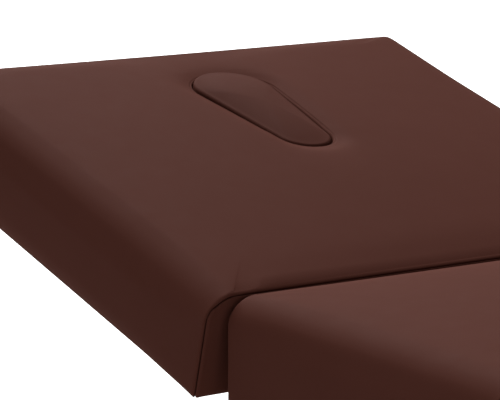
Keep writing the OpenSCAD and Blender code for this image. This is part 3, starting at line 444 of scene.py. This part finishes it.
def blown_up(length, width, hole):
    """A coarse pad, and how far each of its points moves when it is blown up as cloth."""
    pad = Pad(length, width, hole, Around(width, **COARSE_AROUND), **COARSE_RINGS)
    obj = bpy.data.objects.new("blown_pad", pad.mesh("blown_pad", pad.points))
    scene.collection.objects.link(obj)
    make_cloth(obj, pad.held())
    for number in range(1, SIM_FRAMES + 1):
        scene.frame_set(number)
    blown = obj.evaluated_get(bpy.context.evaluated_depsgraph_get()).to_mesh()
    co = np.empty(3 * len(blown.vertices))
    blown.vertices.foreach_get("co", co)
    kept = co.reshape(-1, 3)[:pad.points.size // 3]
    moves = kept.reshape(pad.points.shape) - pad.points
    bpy.data.objects.remove(obj)
    scene.frame_set(1)
    return pad, moves


def capped(pad, moves):
    """Moves kept below a limit, which is smaller on the end panels and near the corners."""
    limit = np.full(moves.shape[:2], SWELL)
    for columns in pad.end_columns():
        limit[:pad.seam_ring + 1, columns] = END_SWELL
    x, y = np.abs(pad.points[..., 0]), np.abs(pad.points[..., 1])
    corner = np.hypot(pad.length / 2 - x, pad.width / 2 - y)
    limit *= np.clip(corner / CORNER_CALM, LEAST_SWELL, 1)
    far = np.linalg.norm(moves, axis=2)
    scale = limit * (1 - np.exp(-far / limit)) / np.maximum(far, TINY)
    return moves * scale[..., None]


def smooth_curve(x, xs, ys):
    """Values at x of a smooth curve through ys at xs, along their first axis."""
    i = np.clip(np.searchsorted(xs, x, side="right") - 1, 0, len(xs) - 2)
    h = (xs[i + 1] - xs[i])[:, None, None]
    t = (x - xs[i])[:, None, None] / h
    slopes = np.gradient(ys, xs, axis=0)
    return (ys[i] * (1 + 2 * t) * (1 - t) ** 2 + slopes[i] * h * t * (1 - t) ** 2
            + ys[i + 1] * t * t * (3 - 2 * t) + slopes[i + 1] * h * t * t * (t - 1))


def carried(coarse, moves, fine):
    """Moves of a coarse pad's points, brought to the points of a fine one."""
    rows = smooth_curve(np.array(fine.stage), np.array(coarse.stage), moves)
    around = rows.transpose(1, 0, 2)
    shares = np.concatenate([coarse.shares - 1, coarse.shares, coarse.shares + 1])
    return smooth_curve(fine.shares, shares, np.tile(around, (3, 1, 1))).transpose(1, 0, 2)


def seam_drops(pad):
    """How far below the edge the seam runs at each column, as it turns down at a corner."""
    away = pad.shares % 0.5
    away = np.minimum(away, 0.5 - away) * pad.perimeter
    seam = away[pad.around.seam]
    turning = 1 - np.sqrt(1 - np.clip(1 + (away - seam) / SEAM_TURN_RUN, 0, 1) ** 2)
    fading = np.clip((away - seam) / SEAM_FADE, 0, 1)
    return SEAM_TURN * turning * (1 - fading ** 2 * (3 - 2 * fading))


def slid(pad, points):
    """Slides points down their columns near the corners, so that the seam ring follows
    the seam, and the rings stay close together beside it."""
    out = points.copy()
    for c, drop in enumerate(seam_drops(pad)):
        column = points[:, c]
        along = np.concatenate([[0], np.linalg.norm(np.diff(column, axis=0), axis=1).cumsum()])
        hem, seam = along[pad.hem_start], along[pad.seam_ring]
        below = (along - hem) / (seam - hem)
        above = 1 - (along - seam) / SEAM_FADE
        moved = along - drop * np.clip(np.minimum(below, above), 0, 1)
        for k in range(3):
            out[:, c, k] = np.interp(moved, along, column[:, k])
    return out


def seam_distance(pad, points):
    """How far each point is from the seams round both end panels."""
    away = np.full(points.shape[:2], np.inf)
    rising = slice(pad.hem_start, pad.seam_ring)
    for columns in pad.end_columns():
        path = np.concatenate([points[rising, columns[0]], points[pad.seam_ring, columns],
                               points[rising, columns[-1]][::-1]])
        for a, b in zip(path[:-1], path[1:]):
            t = np.clip((points - a) @ (b - a) / ((b - a) @ (b - a)), 0, 1)
            reach = np.linalg.norm(points - a - t[..., None] * (b - a), axis=2)
            away = np.minimum(away, reach)
    return away


def seamed(pad, points):
    """Presses the seams of both end panels into the cover, which rises a little beside them
    and puckers where a seam turns round a shoulder. Also gives, from 0 to 1, how near each
    point lies to a seam, the mask for the painted shade in the seam's groove."""
    away = seam_distance(pad, points)
    depth = SEAM_DEPTH * np.exp(-(away / SEAM_WIDTH) ** 2)
    depth -= LIP_H * np.exp(-((away - LIP_W) / LIP_W) ** 2)
    n, first, last = pad.around.count, pad.around.shoulder, pad.around.seam
    run = np.arange(n) % (n // 2)
    run = np.minimum(run, n // 2 - run)
    share = np.clip(2 * (run - first) / (last - first) - 1, 0, 1)
    fold = np.sin(math.pi * share) * np.cos(PUCKERS * 2 * math.pi * share)
    reach = np.exp(-away / PUCKER_REACH) - np.exp(-away / SEAM_WIDTH)
    depth += PUCKER_H * fold * reach
    normals = vertex_normals(points, pad.hole)
    return points - normals * depth[..., None], np.exp(-(away / PAINTED_SHADE_W) ** 2)


# Materials

def new_material(name):
    """A material, its node tree and its main shader."""
    mat = bpy.data.materials.new(name)
    mat.use_nodes = True
    return mat, mat.node_tree, mat.node_tree.nodes["Principled BSDF"]


def add(tree, kind, links=None, **values):
    """A new node. links gives its inputs by name or number, each a socket or a value."""
    node = tree.nodes.new(kind)
    for key, value in values.items():
        setattr(node, key, value)
    for socket, value in (links or {}).items():
        if isinstance(value, bpy.types.NodeSocket):
            tree.links.new(value, node.inputs[socket])
        else:
            node.inputs[socket].default_value = value
    return node


def maths(tree, operation, *values):
    """The result of a sum on one or two values or sockets."""
    node = add(tree, "ShaderNodeMath", dict(enumerate(values)), operation=operation)
    return node.outputs[0]


def mixed(tree, factor, low, high):
    """A colour between two, by a factor."""
    ramp = add(tree, "ShaderNodeValToRGB", {"Fac": factor})
    ramp.color_ramp.elements[0].color = (*low, 1)
    ramp.color_ramp.elements[1].color = (*high, 1)
    return ramp.outputs["Color"]


def blended(tree, factor, low, high):
    """A mix of two colours, each of them a socket or four numbers."""
    node = add(tree, "ShaderNodeMix", {"Factor": factor}, data_type="RGBA")
    colours = [socket for socket in node.inputs if socket.type == "RGBA"]
    for socket, value in zip(colours, (low, high)):
        if isinstance(value, bpy.types.NodeSocket):
            tree.links.new(value, socket)
        else:
            socket.default_value = value
    return next(socket for socket in node.outputs if socket.type == "RGBA")


def ranged(tree, value, low, high):
    """A value from 0 to 1, brought to run from low to high."""
    return add(tree, "ShaderNodeMapRange",
               {"Value": value, "To Min": low, "To Max": high}).outputs["Result"]


def object_coords(tree):
    return add(tree, "ShaderNodeTexCoord").outputs["Object"]


def noise_tex(tree, coords, scale, detail=2, rough=0.5):
    links = {"Vector": coords, "Scale": scale, "Detail": detail, "Roughness": rough}
    return add(tree, "ShaderNodeTexNoise", links).outputs["Fac"]


def bumped(tree, bsdf, height, strength, distance, under=None):
    """Bump from a height, on top of another where under gives its normals."""
    links = {"Height": height, "Strength": strength, "Distance": distance}
    if under is not None:
        links["Normal"] = under
    out = add(tree, "ShaderNodeBump", links).outputs["Normal"]
    tree.links.new(out, bsdf.inputs["Normal"])
    return out


def coloured(tree, bsdf, coords, scale, dark, light):
    """A colour that varies a little over the surface."""
    mottle = noise_tex(tree, coords, scale, detail=4, rough=0.6)
    tree.links.new(mixed(tree, mottle, dark, light), bsdf.inputs["Base Color"])


def roughened(tree, bsdf, coords, scale, low, high, detail=3, rough=0.5):
    """A roughness that varies between two values."""
    marks = noise_tex(tree, coords, scale, detail, rough)
    tree.links.new(ranged(tree, marks, low, high), bsdf.inputs["Roughness"])


def leatherette(name, dark, light):
    """Coated fabric: fine grain over soft waves, and painted shade along the groove of a seam."""
    mat, tree, bsdf = new_material(name)
    coords = object_coords(tree)
    mottle = noise_tex(tree, coords, scale=9, detail=4, rough=0.6)
    # Painted shade: the colour is darkened towards black along the seams, by the mask the cushions carry, as the
    # shade in their groove
    painted_seam_shade = add(tree, "ShaderNodeAttribute", attribute_name="painted_seam_shade").outputs["Fac"]
    shade = ranged(tree, painted_seam_shade, 0, PAINTED_SHADE_DARK)
    colour = blended(tree, shade, mixed(tree, mottle, dark, light), (0, 0, 0, 1))
    tree.links.new(colour, bsdf.inputs["Base Color"])
    roughened(tree, bsdf, coords, scale=40, low=0.62, high=0.72, detail=5, rough=0.6)
    waves = noise_tex(tree, coords, scale=26, detail=3)
    grain = add(tree, "ShaderNodeTexVoronoi", {"Vector": coords, "Scale": 750},
                feature="DISTANCE_TO_EDGE")
    soft = bumped(tree, bsdf, waves, strength=0.12, distance=0.002)
    bumped(tree, bsdf, grain.outputs["Distance"], strength=0.12, distance=0.0003, under=soft)
    bsdf.inputs["Specular IOR Level"].default_value = 0.012
    return mat


def painted(name, dark, light, rough, grain):
    """Powder coat: a fine orange peel over a colour that varies a little."""
    mat, tree, bsdf = new_material(name)
    coords = object_coords(tree)
    coloured(tree, bsdf, coords, 5, dark, light)
    roughened(tree, bsdf, coords, scale=30, low=rough - 0.05, high=rough + 0.07)
    peel = noise_tex(tree, coords, grain)
    bumped(tree, bsdf, peel, strength=0.15, distance=0.0004)
    return mat


def moulded(name, dark, light, rough, grain):
    """Plastic from an eroded mould: fine pits, and a faint haze."""
    mat, tree, bsdf = new_material(name)
    coords = object_coords(tree)
    coloured(tree, bsdf, coords, 3, dark, light)
    roughened(tree, bsdf, coords, scale=60, low=rough - 0.06, high=rough + 0.06)
    pits = add(tree, "ShaderNodeTexVoronoi", {"Vector": coords, "Scale": grain},
               feature="SMOOTH_F1")
    bumped(tree, bsdf, pits.outputs["Distance"], strength=0.2, distance=0.0002)
    bsdf.inputs["Specular IOR Level"].default_value = 0.4
    return mat


def steel(name, dark, light):
    """Ground steel, with fine marks drawn out along x."""
    mat, tree, bsdf = new_material(name)
    coords = object_coords(tree)
    coloured(tree, bsdf, coords, 8, dark, light)
    marks = add(tree, "ShaderNodeMapping", {"Vector": coords, "Scale": (30, 400, 400)})
    fine = noise_tex(tree, marks.outputs["Vector"], scale=3, detail=5, rough=0.7)
    tree.links.new(ranged(tree, fine, 0.22, 0.42), bsdf.inputs["Roughness"])
    bumped(tree, bsdf, fine, strength=0.06, distance=0.0002)
    bsdf.inputs["Metallic"].default_value = 1.0
    return mat


def along_z(tree, vector):
    return add(tree, "ShaderNodeSeparateXYZ", {"Vector": vector}).outputs["Z"]


def turned(tree, vector, tilt):
    """A vector in the axes of a board that is tilted about y."""
    node = add(tree, "ShaderNodeMapping", {"Vector": vector, "Rotation": (0, -tilt, 0)})
    return node.outputs["Vector"]


def object_normal(tree):
    normal = add(tree, "ShaderNodeNewGeometry").outputs["True Normal"]
    node = add(tree, "ShaderNodeVectorTransform", {"Vector": normal},
               vector_type="NORMAL", convert_from="WORLD", convert_to="OBJECT")
    return node.outputs["Vector"]


def plywood(name, tilt, face_colours, ply_colours):
    """Birch plywood: a figured face veneer, and the plies along every edge."""
    mat, tree, bsdf = new_material(name)
    coords = turned(tree, object_coords(tree), tilt)
    drawn_out = add(tree, "ShaderNodeMapping", {"Vector": coords, "Scale": (2, 22, 22)})
    figure = noise_tex(tree, drawn_out.outputs["Vector"], scale=2.5, detail=6, rough=0.65)
    face = mixed(tree, figure, *face_colours)
    wave = maths(tree, "MULTIPLY", along_z(tree, coords), 2 * math.pi / PLY_PAIR)
    wave = maths(tree, "SINE", wave)
    plies = mixed(tree, ranged(tree, wave, 0.1, 1), *ply_colours)
    flat = maths(tree, "ABSOLUTE", along_z(tree, turned(tree, object_normal(tree), tilt)))
    flat = maths(tree, "GREATER_THAN", flat, FACE_FROM)
    tree.links.new(blended(tree, flat, plies, face), bsdf.inputs["Base Color"])
    roughened(tree, bsdf, coords, scale=40, low=0.55, high=0.7)
    bumped(tree, bsdf, figure, strength=0.15, distance=0.0004)
    return mat


cover = leatherette("cover_leatherette", (0.083, 0.0265, 0.0182), (0.091, 0.0298, 0.0214))
plug_cover = leatherette("plug_leatherette", (0.075, 0.0246, 0.0172), (0.083, 0.0278, 0.0202))
frame_paint = painted("frame_powder_coat", (0.016, 0.016, 0.018), (0.021, 0.021, 0.023),
                      rough=0.42, grain=900)
column_paint = painted("column_powder_coat", (0.54, 0.53, 0.50), (0.60, 0.59, 0.56),
                       rough=0.38, grain=700)
cover_plastic = moulded("cover_plastic", (0.60, 0.59, 0.56), (0.66, 0.65, 0.62),
                        rough=0.5, grain=900)
glide_plastic = moulded("glide_plastic", (0.030, 0.030, 0.031), (0.036, 0.036, 0.037),
                        rough=0.35, grain=1500)
black_plastic = moulded("black_plastic", (0.010, 0.010, 0.011), (0.014, 0.014, 0.015),
                        rough=0.45, grain=1200)
housing = moulded("actuator_housing", (0.29, 0.29, 0.30), (0.34, 0.34, 0.35),
                  rough=0.4, grain=1100)
rubber = moulded("foot_rubber", (0.012, 0.012, 0.012), (0.018, 0.018, 0.018),
                 rough=0.75, grain=500)
bright_steel = steel("ground_steel", (0.50, 0.50, 0.52), (0.60, 0.60, 0.62))
BIRCH_FACE = ((0.42, 0.27, 0.14), (0.62, 0.45, 0.27))
BIRCH_PLIES = ((0.24, 0.14, 0.07), (0.56, 0.39, 0.22))
level_ply = plywood("birch_plywood", 0, BIRCH_FACE, BIRCH_PLIES)
tilted_ply = plywood("tilted_birch_plywood", REST_TILT, BIRCH_FACE, BIRCH_PLIES)
finishes = {"frame_paint": frame_paint, "column_paint": column_paint,
            "cover_plastic": cover_plastic, "glide_plastic": glide_plastic,
            "black_plastic": black_plastic, "actuator_housing": housing,
            "bright_steel": bright_steel, "foot_rubber": rubber, "plywood": level_ply}
tilted_boards = ("back_board", "plug_base")


def dress_nodes():
    """Gives each CAD node that stays in sight the finish of its slot."""
    for part in frame["record"]["subparts"]:
        node, slot = nodes[part["node"]], part["material_slot"]
        material = tilted_ply if part["node"] in tilted_boards else finishes.get(slot)
        if material:
            for holder in node.material_slots:
                holder.material = material


# Small pieces

def ring_at(radius, height, n=24, corners=0):
    """A circle, or with corners a polygon of that inner radius, drawn with n points."""
    a = 2 * np.pi * np.arange(n) / n
    if corners:
        step = 2 * np.pi / corners
        radius = radius / np.cos(a % step - step / 2)
    return np.stack([radius * np.cos(a), radius * np.sin(a), np.full(n, height)], 1)


def rounded_rect(half_w, half_h, r, z, n=4):
    """A rounded rectangle with n steps to a corner."""
    a = np.radians(90) * np.arange(n + 1) / n
    arc = np.stack([half_w - r + r * np.cos(a), half_h - r + r * np.sin(a)], 1)
    q = np.concatenate([arc, arc[::-1] * (-1, 1), -arc, arc[::-1] * (1, -1)])
    return lifted(q, z)


class Pieces:
    """Closed lofts that are gathered into one mesh."""

    def __init__(self):
        self.verts, self.faces, self.count = [], [], 0

    def loft(self, rings, matrix):
        n, first = len(rings[0]), self.count
        for ring in rings:
            for p in ring:
                self.verts.append(matrix @ Vector(p))
        for j in range(len(rings) - 1):
            a, b = first + j * n, first + (j + 1) * n
            self.faces += [(a + k, a + (k + 1) % n, b + (k + 1) % n, b + k)
                           for k in range(n)]
        last = first + (len(rings) - 1) * n
        self.faces.append(tuple(range(first + n - 1, first - 1, -1)))
        self.faces.append(tuple(range(last, last + n)))
        self.count = len(self.verts)

    def piece(self, name, body, slot, material):
        mesh = bpy.data.meshes.new(name)
        mesh.from_pydata(self.verts, [], self.faces)
        mesh.update()
        mesh.shade_smooth()
        obj = place(name, mesh, Matrix(), body, material)
        split = obj.modifiers.new("edges", "EDGE_SPLIT")
        split.split_angle = math.radians(EDGE_A)


def facing(point, direction):
    """A place at point whose z axis runs along direction."""
    turn = Vector(direction).to_track_quat("Z", "Y").to_matrix().to_4x4()
    return Matrix.Translation(point) @ turn


def button_screw(pieces, matrix, r):
    """A button head screw with a hexagon socket, its seat at the matrix's origin."""
    head = [ring_at(wide * r, high * r) for wide, high in SCREW_HEAD]
    socket = [ring_at(SOCKET_R * r, high * r, corners=6) for high in (SCREW_TOP, SOCKET_FLOOR)]
    pieces.loft(head + socket, matrix)


def node_span(node, matrix):
    """Lowest and highest corner of a node in the axes of a matrix."""
    obj = nodes[node]
    inverse = matrix.inverted()
    points = np.array([inverse @ obj.matrix_world @ v.co for v in obj.data.vertices])
    return points.min(0), points.max(0)


def tube_caps(pieces, node, matrix, axis):
    """A plastic cap on each open end of a square or flat tube."""
    low, high = node_span(node, matrix)
    middle = (low + high) / 2
    others = [k for k in range(3) if k != axis]
    half = [(high[k] - low[k]) / 2 for k in others]
    for end, sign in ((low[axis], -1), (high[axis], 1)):
        centre, out = Vector(middle), Vector((0, 0, 0))
        centre[axis], out[axis] = end, sign
        across, up = Vector((0, 0, 0)), Vector((0, 0, 0))
        across[others[0]], up[others[1]] = 1, 1
        if across.cross(up).dot(out) < 0:
            across = -across
        turn = Matrix((across, up, out)).transposed().to_4x4()
        rings = [rounded_rect(*half, CAP_R, -CAP_SINK),
                 rounded_rect(*half, CAP_R, CAP_T - CAP_EDGE),
                 rounded_rect(half[0] - CAP_EDGE, half[1] - CAP_EDGE, CAP_R, CAP_T)]
        pieces.loft(rings, matrix @ Matrix.Translation(centre) @ turn)


def cap_tubes():
    back, leg, chassis = Pieces(), Pieces(), Pieces()
    for side in ("left", "right"):
        tube_caps(back, side + "_back_tube", back_pad, 0)
        tube_caps(leg, side + "_leg_tube", leg_pad, 0)
        tube_caps(chassis, side + "_chassis_rail", seat_pad, 0)
    for end in ("head", "foot"):
        tube_caps(chassis, end + "_seat_cross", seat_pad, 1)
    back.piece("back_tube_caps", "back", "black_plastic", black_plastic)
    leg.piece("leg_tube_caps", "leg", "black_plastic", black_plastic)
    chassis.piece("chassis_tube_caps", "chassis", "black_plastic", black_plastic)


def board_screws(name, node_pair, matrix, body, shares):
    """Screws that hold a board to its side tubes, from below."""
    screws = Pieces()
    for node in node_pair:
        low, high = node_span(node, matrix)
        for share in shares:
            x = low[0] + (high[0] - low[0]) * share
            point = matrix @ Vector((x, (low[1] + high[1]) / 2, low[2]))
            button_screw(screws, facing(point, matrix.to_3x3() @ DOWN), BOARD_SCREW_R)
    screws.piece(name, body, "bright_steel", bright_steel)


def seat_board_screws():
    """Screws that hold the seat board to its cross tubes, from below."""
    screws = Pieces()
    for node in ("head_seat_cross", "foot_seat_cross"):
        low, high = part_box(node)
        for share in SEAT_SCREWS:
            point = ((low[0] + high[0]) / 2, low[1] + (high[1] - low[1]) * share, low[2])
            button_screw(screws, facing(point, DOWN), BOARD_SCREW_R)
    screws.piece("seat_board_screws", "chassis", "bright_steel", bright_steel)


def inset_corners(node, inset):
    """Places inside the four corners of a node's box, seen from above."""
    low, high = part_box(node)
    return [(x, y) for x in (low[0] + inset, high[0] - inset)
            for y in (low[1] + inset, high[1] - inset)]


def shell_screws():
    """Screws in the base cover's top, and in the control box's underside."""
    cover_screws, box_screws = Pieces(), Pieces()
    for x, y in inset_corners("base_cover", COVER_SCREW_INSET):
        hit, point, normal, _ = nodes["base_cover"].ray_cast(Vector((x, y, 1)), DOWN)
        if hit:
            button_screw(cover_screws, facing(point, normal), COVER_SCREW_R)
    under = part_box("control_box")[0][2]
    for x, y in inset_corners("control_box", BOX_SCREW_INSET):
        button_screw(box_screws, facing((x, y, under), DOWN), BOX_SCREW_R)
    cover_screws.piece("base_cover_screws", "base", "bright_steel", bright_steel)
    box_screws.piece("control_box_screws", "chassis", "bright_steel", bright_steel)


def hem_runs(length, width):
    """Start and end of each stretch of hem, counted so that inward is to its left."""
    x, y = length / 2 - HEM_OUT, width / 2 - HEM_OUT
    low, high = FRAME_ZONE
    inner = HEM_IN - HEM_OUT
    for side in (-1, 1):
        yield Vector((-x * side, -y * side, 0)), Vector((x * side, -y * side, 0))
        for a, b in ((-y + inner, -high), (-low, low), (high, y - inner)):
            yield Vector((x * side, a * side, 0)), Vector((x * side, b * side, 0))


def hem_strip(pieces, start, end, inward, matrix):
    """One stretch of hem, with a wavy inner edge."""
    n = max(2, round((end - start).length / HEM_STEP))
    stations = []
    for i in range(n + 1):
        p = start + (end - start) * (i / n)
        spot = Vector((HEM_WAVE_SCALE * p.x, HEM_WAVE_SCALE * p.y, HEM_WAVE_PLANE))
        q = p + inward * (HEM_IN - HEM_OUT + HEM_WAVE * noise.noise(spot))
        stations.append([(p.x, p.y, SINK), (q.x, q.y, SINK),
                         (q.x, q.y, -HEM_T), (p.x, p.y, -HEM_T)])
    pieces.loft(stations, matrix)


def staple(pieces, matrix):
    """A staple's crown, with its ends bent down."""
    half_l, half_w = STAPLE_L / 2, STAPLE_W / 2
    flat = STAPLE_FLAT * half_l
    stations = []
    for x, drop in ((-half_l, 0), (-flat, STAPLE_T), (flat, STAPLE_T), (half_l, 0)):
        under = -drop - STAPLE_END
        stations.append([(x, -half_w, SINK), (x, half_w, SINK),
                         (x, half_w, under), (x, -half_w, under)])
    pieces.loft(stations, matrix)


def staple_row(pieces, start, end, inward, matrix):
    """Staples along a stretch of hem, each of them turned a little."""
    along = end - start
    count = max(1, int(along.length / STAPLE_STEP))
    for i in range(count):
        p = start + along * ((i + 0.5) / count) + inward * (STAPLE_INWARD * HEM_IN)
        turn = math.atan2(along.y, along.x)
        turn += STAPLE_TURN * noise.noise(STAPLE_TURN_SCALE * p)
        spot = Matrix.Translation((p.x, p.y, -HEM_T)) @ Matrix.Rotation(turn, 4, "Z")
        staple(pieces, matrix @ spot)


def turned_under(name, length, width, matrix, body):
    """The cover's edge, folded under the board and stapled to it, clear of the frame."""
    hem, staples = Pieces(), Pieces()
    for start, end in hem_runs(length, width):
        along = (end - start).normalized()
        inward = Vector((-along.y, along.x, 0))
        hem_strip(hem, start, end, inward, matrix)
        staple_row(staples, start, end, inward, matrix)
    hem.piece(name + "_hem", body, "cushion_cover", cover)
    staples.piece(name + "_staples", body, "bright_steel", bright_steel)


# Cushions

def bunched(low, high, n, power):
    """n angles after low and up to high, closer together near low."""
    return [low + (high - low) * (i / n) ** power for i in range(1, n + 1)]


# Counts of points and rings, for the pads that are seen and for those that are blown up
FINE_AROUND = dict(
    end_n=16, shoulder_n=18, side_n=24,
    corner_angles=(bunched(SEAM_CORNER_A, 0, 9, CORNER_BUNCH)[::-1] + [SEAM_CORNER_A]
                   + bunched(SEAM_CORNER_A, 90, 5, CORNER_BUNCH)))
FINE_RINGS = dict(
    hem_n=5, wall_n=16, top_n=26, lip_n=8,
    edge_angles=(bunched(SEAM_A, 0, 7, EDGE_BUNCH)[::-1] + [SEAM_A]
                 + bunched(SEAM_A, 90, 12, EDGE_BUNCH)))
COARSE_AROUND = dict(
    end_n=8, shoulder_n=5, side_n=12, corner_angles=[0, 22, SEAM_CORNER_A, 90])
COARSE_RINGS = dict(
    hem_n=2, wall_n=5, top_n=9, lip_n=3, edge_angles=[0, SEAM_A, 54, 72, 90])


def make_cushion(name, length, width, hole, matrix, body, node):
    """A cushion's cover: blown up, pressed in at its seams, and set in place of a node."""
    pad = Pad(length, width, hole, Around(width, **FINE_AROUND), **FINE_RINGS)
    points = pad.points
    coarse, moves = blown_up(length, width, hole)
    points = points + carried(coarse, capped(coarse, moves), pad)
    points, painted_seam_shade = seamed(pad, slid(pad, points))
    mesh = pad.mesh(name, points)
    # The seam mask, kept on the mesh, by which the cover's material paints shade along the seams
    values = np.zeros(len(mesh.vertices))
    values[:painted_seam_shade.size] = painted_seam_shade.ravel()
    mesh.attributes.new("painted_seam_shade", "FLOAT", "POINT").data.foreach_set("value", values)
    obj = place(name, mesh, matrix, body, cover)
    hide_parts(node)


def make_plug():
    """The teardrop cushion in the face hole, on its plate."""
    foot = BOARD_T + PLUG_PLATE_T
    shares = np.arange(PLUG_POINTS) / PLUG_POINTS
    hole_spot = np.array([[HOLE_X, 0]])
    rise = top_z(BACK_LEN, BACK_W, hole_spot)[0] + PLUG_RISE
    rings = [lifted(drop_points(shares, -PLUG_GAP - HEM_R), foot),
             lifted(drop_points(shares, -PLUG_GAP), foot + HEM_R),
             lifted(drop_points(shares, -PLUG_GAP), (foot + rise) / 2)]
    for a in np.linspace(0, math.pi / 2, PLUG_EDGE_RINGS + 1):
        rings.append(lifted(drop_points(shares, -PLUG_GAP - PLUG_EDGE_R * (1 - math.cos(a))),
                            rise - PLUG_EDGE_R * (1 - math.sin(a))))
    edge = rings[-1][:, :2]
    for s in 1 - PLUG_RING_STEP * np.arange(1, PLUG_RINGS + 1):
        rings.append(lifted(edge * s, rise + PLUG_CROWN * (1 - s * s)))
    points = np.array(rings)
    mesh = grid_mesh("face_plug_cushion", points, False, cap_low=True,
                     top=np.array([[0, 0, rise + PLUG_CROWN]]))
    obj = place("face_plug_cushion", mesh, back_pad @ Matrix.Translation((HOLE_X, 0, 0)),
                "face_plug", plug_cover)
    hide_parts("plug_cushion")


# Studio

def seen_directly(tree):
    """1 for camera, glossy and transmission rays, else 0."""
    path = add(tree, "ShaderNodeLightPath")
    seen = path.outputs["Is Camera Ray"]
    for ray in ("Is Glossy Ray", "Is Transmission Ray"):
        seen = maths(tree, "MAXIMUM", seen, path.outputs[ray])
    return seen


def make_floor():
    bpy.ops.mesh.primitive_circle_add(vertices=96, radius=FLOOR_R, fill_type="NGON")
    floor = bpy.context.object
    floor.name = "floor"
    mat, tree, bsdf = new_material("floor_pale")
    bsdf.inputs["Base Color"].default_value = (0.8, 0.8, 0.8, 1)
    bsdf.inputs["Roughness"].default_value = 0.9
    bsdf.inputs["Specular IOR Level"].default_value = 0.1
    bsdf.inputs["Emission Color"].default_value = (1, 1, 1, 1)
    away = add(tree, "ShaderNodeVectorMath", {0: object_coords(tree)}, operation="LENGTH")
    glow = add(tree, "ShaderNodeMapRange",
               {"Value": away.outputs["Value"], "From Min": GLOW_NEAR, "From Max": GLOW_FAR,
                "To Min": FLOOR_GLOW, "To Max": 1.0}, interpolation_type="SMOOTHSTEP")
    shown = maths(tree, "MULTIPLY", glow.outputs["Result"], seen_directly(tree))
    tree.links.new(shown, bsdf.inputs["Emission Strength"])
    floor.data.materials.append(mat)


def make_world():
    world = bpy.data.worlds.new("studio")
    scene.world = world
    world.use_nodes = True
    tree = world.node_tree
    back = tree.nodes["Background"]
    level = ranged(tree, seen_directly(tree), SKY_LEVEL, 1.0)
    back.inputs["Color"].default_value = (1, 1, 1, 1)
    tree.links.new(level, back.inputs["Strength"])


def area_light(name, place_at, aim_at, size, power):
    data = bpy.data.lights.new(name, "AREA")
    data.shape = "SQUARE"
    data.size = size
    data.energy = power
    obj = bpy.data.objects.new(name, data)
    scene.collection.objects.link(obj)
    obj.location = place_at
    obj.rotation_mode = "QUATERNION"
    obj.rotation_quaternion = (Vector(aim_at) - Vector(place_at)).to_track_quat("-Z", "Y")


scene.view_settings.view_transform = "Standard"
make_camera()
make_floor()
make_world()
area_light("top_light", place_at=(-5.6, 0.8, 6.0), aim_at=(-0.1, 0, 0.5), size=5.5, power=815)
area_light("fill_light", place_at=(2.5, -1.1, 1.0), aim_at=(0, 0, 0.5), size=1.6, power=11)

make_cushion("back_cushion_cover", BACK_LEN, BACK_W, True, back_pad, "back", "back_cushion")
make_cushion("seat_cushion_cover", SEAT_LEN, LOWER_W, False, seat_pad, "chassis",
             "seat_cushion")
make_cushion("leg_cushion_cover", LEG_LEN, LOWER_W, False, leg_pad, "leg", "leg_cushion")
make_plug()
dress_nodes()
cap_tubes()
board_screws("back_board_screws", ("left_back_tube", "right_back_tube"), back_pad, "back",
             BACK_SCREWS)
board_screws("leg_board_screws", ("left_leg_tube", "right_leg_tube"), leg_pad, "leg",
             LEG_SCREWS)
seat_board_screws()
shell_screws()
turned_under("back_cover", BACK_LEN, BACK_W, back_pad, "back")
turned_under("seat_cover", SEAT_LEN, LOWER_W, seat_pad, "chassis")
turned_under("leg_cover", LEG_LEN, LOWER_W, leg_pad, "leg")
